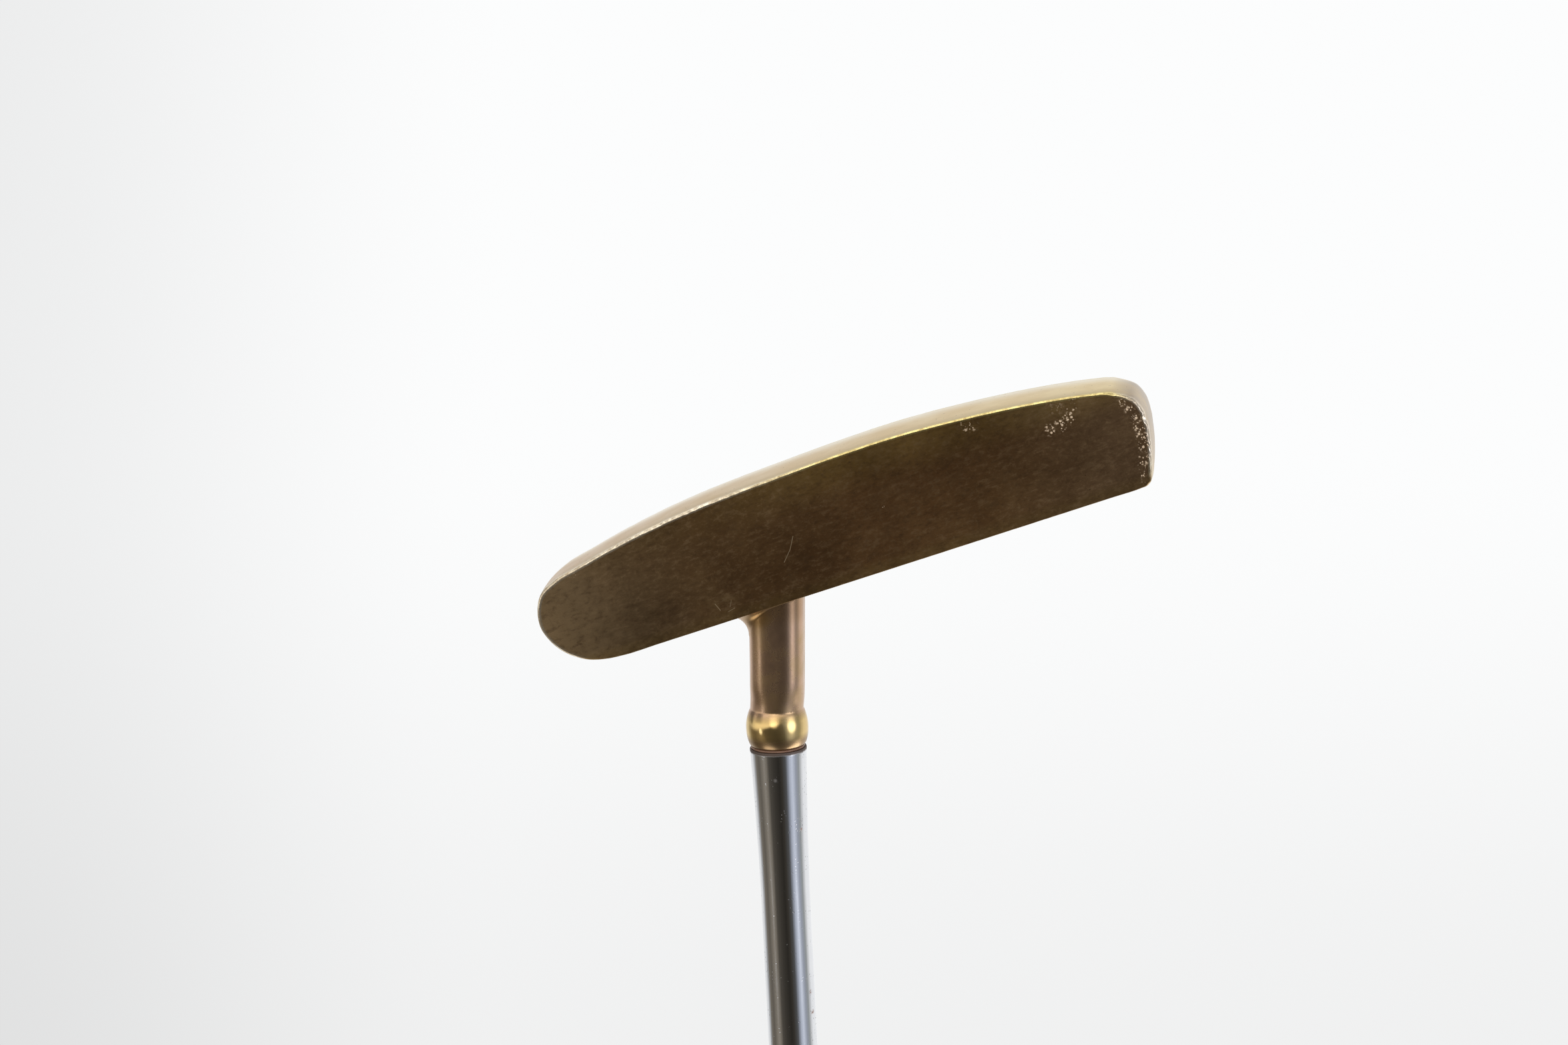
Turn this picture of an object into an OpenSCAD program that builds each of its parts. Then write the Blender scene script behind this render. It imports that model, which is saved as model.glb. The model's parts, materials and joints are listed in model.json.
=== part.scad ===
// Blade putter: a two-way brass blade with a leaning neck and a raised collar,
// a stepped chrome steel shaft that slips over a post above the collar,
// and a leather-wrapped paddle grip.
// Units are millimetres. +Z is up with the putter soled at address, the front
// striking face looks along -Y, the toe points along -X and the shaft leans
// towards +X. The origin is the middle of the flat on the sole.

/* [Blade] */
// Lie of the shaft, measured from the ground
lie = 71; // [66:0.5:76]
// Rise of the topline towards the toe when the sole flat is on the ground
top_tilt = 2; // [1:0.5:3.5]
// Thickness of the blade along its topline
top_thick = 12.5; // [11.6:0.1:15]
// Loft of each face; the blade is thicker at the sole
loft = 4; // [2:0.5:6]
// Length of the flat on the sole that the putter rests on
flat_len = 15; // [10:1:18]

/* [Neck] */
// Diameter of the round neck
neck_d = 9.7; // [9:0.1:11]
// Length of the neck axis from the topline to where it meets the shaft axis
neck_len = 26; // [20:1:32]
// Angle by which the neck leans more than the shaft
neck_bend = 2.8; // [0:0.1:4]
// Largest diameter of the raised collar
collar_d = 11.3; // [10.6:0.1:13]
// Length of the collar
collar_len = 6.9; // [6:0.1:9]

/* [Shaft] */
// Length of the club along the shaft, from the ground to the top of the cap
club_len = 889; // [840:1:940]
// Outside diameter of the parallel tip of the shaft
tip_d = 9.02; // [8.6:0.01:9.6]
// Outside diameter of the flared mouth of the shaft
mouth_d = 10.35; // [10:0.05:10.7]
// Length of the flare
flare_len = 27; // [20:1:32]
// Outside diameter of the butt
butt_d = 14.7; // [14:0.1:15.5]
// Wall thickness at the tip
wall_tip = 0.7; // [0.6:0.05:0.9]
// Wall thickness at the butt
wall_butt = 0.4; // [0.35:0.05:0.6]
// Number of steps in the shaft
steps = 12; // [6:1:14]
// Distance from the collar to the first step
first_step = 180; // [140:5:200]
// Distance between steps
step_gap = 34; // [24:1:34]
// Length of the post that the shaft slips over
post_len = 27; // [20:1:27]
// Gap around the post that the adhesive fills
glue = 0.12; // [0.08:0.02:0.2]

/* [Grip] */
// Length of the leather-wrapped part
grip_len = 239; // [220:1:250]
// Thickness of the leather
leather_t = 1.5; // [1:0.1:2]
// Thickness of the tape between the shaft and the underlisting
tape_t = 0.25; // [0.15:0.05:0.4]
// Thickness of the cap at the butt
cap_t = 6.4; // [5:0.2:8]
// Length of the tapered collar below the leather
boot_len = 12; // [9:1:16]
// Length of the thread whipping over the end of the leather
whip_len = 9; // [6:1:14]
// Thickness of the whipping
whip_t = 0.8; // [0.6:0.1:1.2]

/* [Hidden] */
$fn = 96;

// Middle of the sole flat, and where the neck leaves the topline, in head
// coordinates: u from the neck side towards the toe, v down from the topline.
rest = [3, 22.5];
neck_u = -5.6;

// Outline of the face. Each list runs on from the last; the sole flat joins
// the two, and the topline closes the loop.
toe_to_flat = [[65, 0], [65.5, 0.35], [65.8, 1.3], [67, 4.8], [67.8, 7.8], [68.3, 10.8], [68.3, 13.4], [67.5, 15.7],
    [66.1, 17.1], [64.5, 18], [60.5, 18.9], [48.8, 20.8], [37, 22], [25.3, 22.7], [16, 22.82]];
flat_to_top = [[-12.7, 21.7], [-22.9, 20.5], [-35.2, 18.3], [-41.4, 16.7], [-44.6, 14.8], [-46.2, 12], [-46.6, 9.6],
    [-45.7, 6.6], [-43.5, 3.4], [-40.9, 1.4], [-37.9, 0.4], [-34.2, 0]];

flat_dir = [cos(top_tilt), sin(top_tilt)];
flat_a = rest + flat_dir * flat_len / 2;
flat_b = rest - flat_dir * flat_len / 2;

// A smooth curve through points that may be unevenly spaced.
function tangent(p, i) =
    i == 0 ? (p[1] - p[0]) / norm(p[1] - p[0]) :
    i == len(p) - 1 ? (p[i] - p[i - 1]) / norm(p[i] - p[i - 1]) :
    let (a = norm(p[i] - p[i - 1]), b = norm(p[i + 1] - p[i]))
    ((p[i] - p[i - 1]) / a * b + (p[i + 1] - p[i]) / b * a) / (a + b);
function along(p, i, t) =
    let (h = norm(p[i + 1] - p[i]), m0 = tangent(p, i) * h, m1 = tangent(p, i + 1) * h)
    p[i] * (2 * t^3 - 3 * t^2 + 1) + m0 * (t^3 - 2 * t^2 + t) + p[i + 1] * (3 * t^2 - 2 * t^3) + m1 * (t^3 - t^2);
function smooth(p, gap) = [for (i = [0 : len(p) - 2])
    let (n = max(1, round(norm(p[i + 1] - p[i]) / gap))) for (k = [0 : n - 1]) along(p, i, k / n)];

outline = concat(
    smooth(concat(toe_to_flat, [flat_a]), 1.6), [flat_a],
    smooth(concat([flat_b], flat_to_top), 1.6), [[-34.2, 0]]);

// Along the shaft, s = 0 is where the neck axis meets the shaft axis.
rim_s = 1.2;
mouth_s = rim_s + 0.4;
head_bend = [-neck_u + neck_len * cos(lie + top_tilt - neck_bend), neck_len * sin(lie + top_tilt - neck_bend)];
bend_up = -(head_bend[0] + rest[0]) * sin(top_tilt) + (head_bend[1] + rest[1]) * cos(top_tilt);
cap_s = club_len - bend_up / sin(lie);
butt_s = cap_s - cap_t;
wrap_s = butt_s - grip_len;

// Shaft profile: flare, parallel tip, steps, parallel butt.
step_up = (butt_d - tip_d) / 2 / steps;
function flare_r(s) = tip_d / 2 + (mouth_d - tip_d) / 2 * (1 - min(1, (s - mouth_s) / flare_len))^1.5;
function wall(s) = wall_tip + (wall_butt - wall_tip) * s / butt_s;
flare_pts = [for (k = [0 : 8]) let (s = mouth_s + flare_len * k / 8) [flare_r(s), s]];
step_pts = [for (k = [0 : steps - 1]) each [
    [tip_d / 2 + step_up * k, first_step + step_gap * k],
    [tip_d / 2 + step_up * (k + 1), first_step + step_gap * k + 1.2]]];
shaft_out = concat(flare_pts, step_pts, [[butt_d / 2, butt_s]]);
shaft_in = [for (i = [len(shaft_out) - 1 : -1 : 0]) [shaft_out[i][0] - wall(shaft_out[i][1]), shaft_out[i][1]]];
post_s = mouth_s + post_len;
function bore_r(s) = flare_r(s) - wall(s);
bore_pts = [for (k = [0 : 8]) let (s = mouth_s + flare_len * k / 8) [bore_r(s), s]];

// Grip section: half width, depth of the flat thumb side, depth of the back,
// and how square the thumb side is, at fractions of the grip's length.
grip_table = [
    [0, 9, 9, 9, 2], [0.045, 9, 9, 9, 2], [0.1, 9.3, 8.95, 9.7, 2.5], [0.18, 9.8, 8.9, 10.6, 3.2], [0.28, 10.2, 8.9, 11.4, 3.8],
    [0.4, 10.6, 8.9, 12, 4], [0.54, 11, 8.9, 12.5, 4], [0.66, 11.2, 8.9, 13.1, 4], [0.76, 11.4, 8.9, 14, 4], [0.85, 11.7, 8.95, 15.2, 4],
    [0.93, 12, 9, 16.3, 4], [1, 12.2, 9.1, 16.8, 4]];
function section(row, grow, n) = [for (k = [0 : n - 1])
    let (a = 360 * k / n, c = cos(a), s = sin(a), w = row[1] + grow, d = (c > 0 ? row[2] : row[3]) + grow, p = c > 0 ? row[4] : 2.1)
    let (r = 1 / (abs(c / d)^p + abs(s / w)^p)^(1 / p)) [r * c, r * s]];

module at_head() rotate([0, top_tilt, 0]) translate([rest[0], 0, rest[1]]) children();
module at_bend() translate([head_bend[0], 0, head_bend[1]]) children();
module on_neck() at_head() translate([-neck_u, 0, 0]) rotate([0, 90 - (lie + top_tilt - neck_bend), 0]) children();
module on_shaft() at_head() at_bend() rotate([0, 90 - (lie + top_tilt), 0]) children();

module turned(points) rotate_extrude() polygon(points);

module loft_grip(grow, from, to, n = 36) {
    rows = grip_table;
    m = len(rows);
    pts = [for (i = [0 : m - 1])
        let (z = i == 0 ? from : i == m - 1 ? to : wrap_s + grip_len * rows[i][0])
        for (q = section(rows[i], grow, n)) [-q[0], q[1], z]];
    faces = concat(
        [[for (k = [n - 1 : -1 : 0]) k]],
        [for (i = [0 : m - 2]) for (k = [0 : n - 1]) each [
            [i * n + k, i * n + (k + 1) % n, (i + 1) * n + k],
            [i * n + (k + 1) % n, (i + 1) * n + (k + 1) % n, (i + 1) * n + k]]],
        [[for (k = [0 : n - 1]) (m - 1) * n + k]]);
    polyhedron(points = pts, faces = faces, convexity = 4);
}

// Brass head: blade, neck, collar and post in one casting.
module blade_head() color([0.62, 0.5, 0.28]) {
    spread = tan(loft);
    at_head() intersection() {
        rotate([90, 0, 0]) linear_extrude(height = 30, center = true) polygon([for (q = outline) [-q[0], -q[1]]]);
        rotate([90, 0, 90]) linear_extrude(height = 240, center = true)
            polygon([[-top_thick / 2 + 2 * spread, 2], [top_thick / 2 - 2 * spread, 2],
                [top_thick / 2 + 30 * spread, -30], [-top_thick / 2 - 30 * spread, -30]]);
    }
    on_neck() translate([0, 0, -8]) cylinder(h = neck_len + 8, d = neck_d);
    c = collar_d / 2;
    n = neck_d / 2;
    d = c - n;
    on_shaft() turned([[0, rim_s - collar_len - 0.6], [n - 0.12, rim_s - collar_len - 0.6], [n, rim_s - collar_len],
        [n + d * 0.25, rim_s - collar_len + 0.45], [n + d * 0.57, rim_s - collar_len + 1.25], [n + d * 0.88, rim_s - collar_len + 2.25],
        [c, rim_s - collar_len + 3.15], [c - 0.01, rim_s - 2.75], [c - 0.07, rim_s - 2.1], [c - 0.18, rim_s - 1.5],
        [c - 0.35, rim_s - 0.87], [c - 0.52, rim_s - 0.45], [c - 0.75, rim_s - 0.12], [c - 0.9, rim_s], [0, rim_s]]);
    on_shaft() turned(concat([[0, -1]], [[bore_r(mouth_s) - glue, -1]],
        [for (q = bore_pts) if (q[1] < post_s - 1.2) [q[0] - glue, q[1]]],
        [[bore_r(post_s) - glue, post_s - 1], [bore_r(post_s) - glue - 0.8, post_s], [0, post_s]]));
}

// Adhesive between the post and the shaft, with the bead that shows at the mouth.
module tip_adhesive() color([0.45, 0.2, 0.1])
    on_shaft() turned(concat(
        [for (q = bore_pts) if (q[1] < post_s - 1.2) q],
        [[bore_r(post_s), post_s - 1], [bore_r(post_s) - glue, post_s - 1]],
        [for (i = [len(bore_pts) - 1 : -1 : 0]) if (bore_pts[i][1] < post_s - 1.2) [bore_pts[i][0] - glue, bore_pts[i][1]]],
        [[bore_r(mouth_s) - glue, rim_s], [mouth_d / 2 - 0.25, rim_s], [mouth_d / 2 - 0.25, mouth_s]]));

// Stepped steel tube.
module shaft_tube() color([0.75, 0.77, 0.8])
    on_shaft() turned(concat(shaft_out, shaft_in));

// Double-sided tape around the butt of the shaft.
module grip_tape() color([0.85, 0.8, 0.65])
    on_shaft() turned([[butt_d / 2, wrap_s], [butt_d / 2 + tape_t, wrap_s], [butt_d / 2 + tape_t, butt_s], [butt_d / 2, butt_s]]);

// Moulded underlisting that gives the grip its paddle shape.
module grip_underlisting() color([0.25, 0.22, 0.2])
    on_shaft() difference() {
        loft_grip(0, wrap_s, butt_s);
        translate([0, 0, wrap_s - 1]) cylinder(h = grip_len + 2, d = butt_d + 2 * tape_t);
    }

// Leather strip wound over the underlisting.
module leather_wrap() color([0.3, 0.16, 0.08])
    on_shaft() difference() {
        loft_grip(leather_t, wrap_s, butt_s);
        loft_grip(0, wrap_s - 1, butt_s + 1);
    }

// Waxed thread wound over the lower end of the leather.
module grip_whipping() color([0.1, 0.09, 0.08])
    on_shaft() turned([[9 + leather_t, wrap_s], [9 + leather_t + whip_t, wrap_s + 0.4], [9 + leather_t + whip_t, wrap_s + whip_len - 0.4], [9 + leather_t, wrap_s + whip_len]]);

// Tapered rubber collar below the leather.
module lower_collar() color([0.08, 0.08, 0.08])
    on_shaft() turned([[butt_d / 2, wrap_s - boot_len], [butt_d / 2 + 0.7, wrap_s - boot_len], [butt_d / 2 + 1.3, wrap_s - boot_len * 0.85],
        [butt_d / 2 + 2.4, wrap_s - boot_len * 0.45], [9 + leather_t + 0.3, wrap_s - boot_len * 0.12], [9 + leather_t + 0.2, wrap_s], [butt_d / 2, wrap_s]]);

// Turned wooden plug in the butt of the shaft, which the cap is screwed to.
plug_len = 30;
plug_r = butt_d / 2 - wall(butt_s);
module butt_plug() color([0.7, 0.55, 0.35])
    on_shaft() difference() {
        translate([0, 0, butt_s - plug_len]) cylinder(h = plug_len, r1 = plug_r - 0.4, r2 = plug_r - 0.02);
        translate([0, 0, butt_s - 15]) cylinder(h = 16, d = 3.2);
    }

// Cap over the end of the grip, countersunk for its screw.
module grip_cap() color([0.07, 0.07, 0.07])
    on_shaft() difference() {
        union() {
            translate([0, 0, butt_s]) linear_extrude(height = cap_t * 0.62)
                polygon([for (q = section(grip_table[11], leather_t + 0.4, 72)) [-q[0], q[1]]]);
            translate([0, 0, butt_s]) linear_extrude(height = cap_t * 0.85)
                polygon([for (q = section(grip_table[11], leather_t - 0.9, 72)) [-q[0], q[1]]]);
            translate([0, 0, butt_s]) linear_extrude(height = cap_t)
                polygon([for (q = section(grip_table[11], leather_t - 3.6, 72)) [-q[0], q[1]]]);
        }
        translate([0, 0, butt_s - 1]) cylinder(h = cap_t + 2, d = 3.2);
        turned([[0, cap_s - 2.2], [1.6, cap_s - 2.2], [3.6, cap_s - 0.5], [3.6, cap_s + 1], [0, cap_s + 1]]);
    }

// Slotted wood screw that holds the cap.
module cap_screw() color([0.7, 0.6, 0.35])
    on_shaft() difference() {
        union() {
            translate([0, 0, butt_s - 14]) cylinder(h = cap_s - butt_s + 14 - 1, d = 3.2);
            translate([0, 0, butt_s - 15]) cylinder(h = 1, r1 = 0.5, r2 = 1.6);
            turned([[0, cap_s - 2.2], [1.6, cap_s - 2.2], [3.6, cap_s - 0.5], [3.3, cap_s - 0.25], [0, cap_s - 0.1]]);
        }
        translate([-4, -0.5, cap_s - 1]) cube([8, 1, 2]);
    }

blade_head();
tip_adhesive();
shaft_tube();
grip_tape();
grip_underlisting();
leather_wrap();
grip_whipping();
lower_collar();
butt_plug();
grip_cap();
cap_screw();
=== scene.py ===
# Blade putter: detailed brass head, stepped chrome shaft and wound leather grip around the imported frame.
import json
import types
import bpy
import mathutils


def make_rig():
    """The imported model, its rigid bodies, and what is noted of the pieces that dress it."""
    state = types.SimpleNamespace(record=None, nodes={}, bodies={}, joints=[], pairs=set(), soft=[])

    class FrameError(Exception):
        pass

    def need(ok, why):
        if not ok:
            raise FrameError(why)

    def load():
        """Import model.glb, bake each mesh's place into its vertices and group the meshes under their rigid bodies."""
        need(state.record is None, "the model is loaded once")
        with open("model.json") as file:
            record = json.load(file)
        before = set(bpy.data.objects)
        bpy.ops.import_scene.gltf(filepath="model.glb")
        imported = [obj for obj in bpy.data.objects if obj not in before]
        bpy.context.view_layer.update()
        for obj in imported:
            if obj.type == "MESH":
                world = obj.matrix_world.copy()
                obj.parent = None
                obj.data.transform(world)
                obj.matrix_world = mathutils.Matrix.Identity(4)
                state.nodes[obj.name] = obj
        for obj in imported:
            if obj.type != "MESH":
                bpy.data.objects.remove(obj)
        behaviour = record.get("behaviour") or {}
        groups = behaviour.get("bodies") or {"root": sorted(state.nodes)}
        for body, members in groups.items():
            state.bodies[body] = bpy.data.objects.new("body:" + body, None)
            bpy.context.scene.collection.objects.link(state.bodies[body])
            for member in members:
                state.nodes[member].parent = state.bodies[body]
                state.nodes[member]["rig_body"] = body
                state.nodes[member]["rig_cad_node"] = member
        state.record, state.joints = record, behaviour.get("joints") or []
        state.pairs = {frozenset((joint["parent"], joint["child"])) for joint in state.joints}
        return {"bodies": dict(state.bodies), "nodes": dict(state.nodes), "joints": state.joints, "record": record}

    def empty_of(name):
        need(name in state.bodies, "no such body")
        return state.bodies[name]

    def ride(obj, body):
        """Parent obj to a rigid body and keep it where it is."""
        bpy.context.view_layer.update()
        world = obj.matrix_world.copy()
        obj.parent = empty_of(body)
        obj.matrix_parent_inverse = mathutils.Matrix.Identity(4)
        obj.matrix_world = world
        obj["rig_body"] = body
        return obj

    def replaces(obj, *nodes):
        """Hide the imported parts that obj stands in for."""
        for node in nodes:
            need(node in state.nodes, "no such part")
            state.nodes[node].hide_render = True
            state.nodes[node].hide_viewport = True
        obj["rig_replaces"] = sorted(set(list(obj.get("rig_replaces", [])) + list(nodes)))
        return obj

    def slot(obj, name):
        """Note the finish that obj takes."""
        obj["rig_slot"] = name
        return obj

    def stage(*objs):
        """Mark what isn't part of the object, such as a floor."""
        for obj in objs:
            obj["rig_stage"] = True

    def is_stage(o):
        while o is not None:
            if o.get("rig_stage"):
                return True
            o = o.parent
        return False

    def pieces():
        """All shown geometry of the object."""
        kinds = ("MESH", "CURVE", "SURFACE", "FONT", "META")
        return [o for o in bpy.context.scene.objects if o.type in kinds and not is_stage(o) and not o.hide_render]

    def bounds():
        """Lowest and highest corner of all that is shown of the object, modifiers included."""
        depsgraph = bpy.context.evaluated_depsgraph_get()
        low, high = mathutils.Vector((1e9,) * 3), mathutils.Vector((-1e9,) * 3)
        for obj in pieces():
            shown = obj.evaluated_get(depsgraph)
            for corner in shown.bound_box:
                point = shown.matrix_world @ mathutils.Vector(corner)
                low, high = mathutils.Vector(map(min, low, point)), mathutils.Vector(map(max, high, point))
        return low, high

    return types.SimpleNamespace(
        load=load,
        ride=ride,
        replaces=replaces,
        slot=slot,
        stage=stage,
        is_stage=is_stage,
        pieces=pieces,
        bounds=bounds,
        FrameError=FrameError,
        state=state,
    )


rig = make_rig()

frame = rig.load()

import json
import math
import bpy
import bmesh
import numpy as np
from mathutils import Vector, Matrix
from mathutils.geometry import delaunay_2d_cdt

cad_lo, cad_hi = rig.bounds()

# ---------------------------------------------------------------- design numbers, as in the CAD (mm)
LIE, TILT, LOFT, TOP_T = 71.0, 2.0, 4.0, 12.5
NECK_D, NECK_LEN, BEND, COLLAR_D = 9.7, 26.0, 2.8, 11.3
TIP_D, MOUTH_D, FLARE, BUTT_D = 9.02, 10.35, 27.0, 14.7
WALL_TIP, WALL_BUTT, STEPS, FIRST, GAP = 0.7, 0.4, 12, 180.0, 34.0
POST_LEN, GLUE, CLUB = 27.0, 0.12, 889.0
GRIP_LEN, LEATHER, TAPE, CAP_T, BOOT, WHIP, WHIP_T = 239.0, 1.5, 0.25, 6.4, 12.0, 9.0, 0.8
REST = (3.0, 22.5)
NECK_U = -5.6
FLAT = 15.0
rad = math.radians

ct, st = math.cos(rad(TILT)), math.sin(rad(TILT))
AN, AS = rad(LIE + TILT - BEND), rad(LIE + TILT)
bend_l = (-NECK_U + NECK_LEN * math.cos(AN), NECK_LEN * math.sin(AN))


def head(p):
    """Head coordinates (x towards the heel, y, z up from the topline) to the row frame, in mm."""
    p = np.asarray(p, float)
    x, y, z = p[..., 0] + REST[0], p[..., 1], p[..., 2] + REST[1]
    return np.stack([ct * x + st * z, y, -st * x + ct * z], -1)


B = head((bend_l[0], 0, bend_l[1]))
DS = np.array([math.cos(rad(LIE)), 0, math.sin(rad(LIE))])
EX = np.array([math.sin(rad(LIE)), 0, -math.cos(rad(LIE))])
EY = np.array([0.0, 1.0, 0.0])


def shaft(p):
    """Shaft coordinates (x down and towards the heel, y, z along the shaft) to the row frame, in mm."""
    p = np.asarray(p, float)
    return B + p[..., 0:1] * EX + p[..., 1:2] * EY + p[..., 2:3] * DS


RIM = 1.2
MOUTH = RIM + 0.4
CAP_S = CLUB - B[2] / math.sin(rad(LIE))
BUTT_S = CAP_S - CAP_T
WRAP_S = BUTT_S - GRIP_LEN
POST_S = MOUTH + POST_LEN

rng = np.random.default_rng(7)


# ---------------------------------------------------------------- mesh helpers
def smooth_line(p, gap):
    p = [np.array(q, float) for q in p]
    n = len(p)

    def tan(i):
        if i == 0:
            return (p[1] - p[0]) / np.linalg.norm(p[1] - p[0])
        if i == n - 1:
            return (p[-1] - p[-2]) / np.linalg.norm(p[-1] - p[-2])
        a, b = np.linalg.norm(p[i] - p[i - 1]), np.linalg.norm(p[i + 1] - p[i])
        return ((p[i] - p[i - 1]) / a * b + (p[i + 1] - p[i]) / b * a) / (a + b)

    out = []
    for i in range(n - 1):
        h = np.linalg.norm(p[i + 1] - p[i])
        m0, m1 = tan(i) * h, tan(i + 1) * h
        k = max(1, round(h / gap))
        for j in range(k):
            t = j / k
            out.append(
                p[i] * (2 * t**3 - 3 * t**2 + 1) + m0 * (t**3 - 2 * t**2 + t) + p[i + 1] * (3 * t**2 - 2 * t**3) + m1 * (t**3 - t**2)
            )
    out.append(p[-1])
    return np.array(out)


def make(name, verts_mm, faces, smooth=True):
    me = bpy.data.meshes.new(name)
    me.from_pydata([tuple(v) for v in np.asarray(verts_mm, float) / 1000.0], [], faces)
    me.validate()
    me.update()
    if smooth:
        me.polygons.foreach_set("use_smooth", [True] * len(me.polygons))
    ob = bpy.data.objects.new(name, me)
    bpy.context.scene.collection.objects.link(ob)
    return ob


def tidy(ob, merge=None):
    bm = bmesh.new()
    bm.from_mesh(ob.data)
    if merge:
        bmesh.ops.remove_doubles(bm, verts=bm.verts, dist=merge)
        bmesh.ops.dissolve_degenerate(bm, edges=bm.edges, dist=merge)
        loose = [v for v in bm.verts if not v.link_faces]
        bmesh.ops.delete(bm, geom=loose, context="VERTS")
    bmesh.ops.recalc_face_normals(bm, faces=bm.faces)
    bm.to_mesh(ob.data)
    bm.free()
    ob.data.update()
    return ob


def set_sharp(ob, degrees):
    """Smooth shading, with edges sharper than this left crisp."""
    me = ob.data
    me.polygons.foreach_set("use_smooth", [True] * len(me.polygons))
    bm = bmesh.new()
    bm.from_mesh(me)
    lim = math.radians(degrees)
    for e in bm.edges:
        e.smooth = not (len(e.link_faces) == 2 and e.calc_face_angle(0.0) > lim)
    bm.to_mesh(me)
    bm.free()
    me.update()


def grid_faces(rows, cols, closed=True, flip=False, base=0):
    """Quads between rows of cols vertices, closed round the columns."""
    f = []
    n = cols if closed else cols - 1
    for i in range(rows - 1):
        for j in range(n):
            a, b = base + i * cols + j, base + i * cols + (j + 1) % cols
            c, d = a + cols, b + cols
            f.append((a, c, d, b) if flip else (a, b, d, c))
    return f


def lathe(name, profile, place, cols=96, loop=True, wobble=None):
    """Turns a profile of (r, z) points round the z axis. A loop profile makes a ring, otherwise both ends close on the axis."""
    a = np.arange(cols) * 2 * math.pi / cols
    rows = []
    for i, (r, z) in enumerate(profile):
        rr = np.full(cols, r) if wobble is None else r + wobble(i, a, r, z)
        rows.append(np.stack([rr * np.cos(a), rr * np.sin(a), np.full(cols, z)], -1))
    v = np.concatenate(rows)
    f = grid_faces(len(profile), cols)
    n = len(profile)
    if loop:
        for j in range(cols):
            a0, b0 = (n - 1) * cols + j, (n - 1) * cols + (j + 1) % cols
            f.append((a0, b0, (j + 1) % cols, j))
    else:
        v = np.concatenate([v, [[0, 0, profile[0][1]], [0, 0, profile[-1][1]]]])
        lo, hi = len(v) - 2, len(v) - 1
        for j in range(cols):
            f.append((lo, (j + 1) % cols, j))
            f.append((hi, (n - 1) * cols + j, (n - 1) * cols + (j + 1) % cols))
    ob = make(name, place(v), f)
    return tidy(ob)


def arc(cx, cy, r, a0, a1, n):
    return [(cx + r * math.cos(rad(a0 + (a1 - a0) * i / n)), cy + r * math.sin(rad(a0 + (a1 - a0) * i / n))) for i in range(n + 1)]


def value_noise(x, seed):
    """Smooth 1-D noise of period 1 in x, in -1..1."""
    g = np.random.default_rng(seed).uniform(-1, 1, 4096)
    i = np.floor(x).astype(int)
    t = x - i
    t = t * t * (3 - 2 * t)
    return g[i % 4096] * (1 - t) + g[(i + 1) % 4096] * t


# ---------------------------------------------------------------- blade
TOE = [(58, 0), (63.6, 0), (64.7, 0.08), (65.35, 0.5), (65.72, 1.3), (67, 4.8), (67.8, 7.8), (68.3, 10.8), (68.3, 13.4), (67.5, 15.7),
       (66.1, 17.1), (64.5, 18), (60.5, 18.9), (48.8, 20.8), (37, 22), (25.3, 22.7), (16, 22.82)]
HEEL = [(-12.7, 21.7), (-22.9, 20.5), (-35.2, 18.3), (-41.4, 16.7), (-44.6, 14.8), (-46.2, 12), (-46.6, 9.6),
        (-45.7, 6.6), (-43.5, 3.4), (-40.9, 1.4), (-37.9, 0.4), (-34.2, 0), (-28, 0)]
fdir = np.array([ct, st])
fa = np.array(REST) + fdir * FLAT / 2
fb = np.array(REST) - fdir * FLAT / 2

gap = 0.3
part_a = smooth_line(TOE + [tuple(fa)], gap)
part_f = np.linspace(fa, fb, 40)[1:]
part_b = smooth_line([tuple(fb)] + HEEL, gap)[1:]
part_t = np.linspace(part_b[-1], part_a[0], 200)[1:-1]
ring = np.concatenate([part_a, part_f, part_b, part_t])
# even spacing
seg = np.linalg.norm(np.roll(ring, -1, 0) - ring, axis=1)
cum = np.concatenate([[0], np.cumsum(seg)])
NC = 880
want = np.linspace(0, cum[-1], NC + 1)[:-1]
closed = np.concatenate([ring, ring[:1]])
ring = np.stack([np.interp(want, cum, closed[:, 0]), np.interp(want, cum, closed[:, 1])], -1)
tang = np.roll(ring, -1, 0) - np.roll(ring, 1, 0)
tang /= np.linalg.norm(tang, axis=1)[:, None]
nor = np.stack([tang[:, 1], -tang[:, 0]], -1)
if ((ring - ring.mean(0)) * nor).sum() < 0:
    nor = -nor
PERIM = cum[-1]
along = want  # mm round the outline

# how far each point of the outline is from the sole, the toe and so on, for the edge shape
is_sole = np.clip((ring[:, 1] - 8) / 8, 0, 1)
is_toe = np.clip((ring[:, 0] - 63.5) / 3, 0, 1)
is_top = np.clip(1 - ring[:, 1] / 1.5, 0, 1) * (1 - is_toe)


def smoothed(a, k):
    ker = np.hanning(2 * k + 3)[1:-1]
    ker /= ker.sum()
    return np.convolve(np.concatenate([a[-k - 1:], a, a[:k + 1]]), ker, "same")[k + 1:-k - 1]


is_heel = np.clip((-ring[:, 0] - 38) / 8, 0, 1)
at_rest = np.clip(1.6 - np.abs(ring[:, 0] - REST[0]) / FLAT, 0, 1) * (ring[:, 1] > 10)
camber = smoothed(0.05 + 0.17 * is_sole + 0.10 * is_toe, 12)
heel_half = np.clip((10 - ring[:, 0]) / 25, 0, 1)
edge_r = smoothed(0.22 + 0.12 * is_sole * (1 - is_toe) + 0.26 * is_toe + 0.16 * is_heel + 0.14 * is_sole * heel_half, 14)
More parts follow.
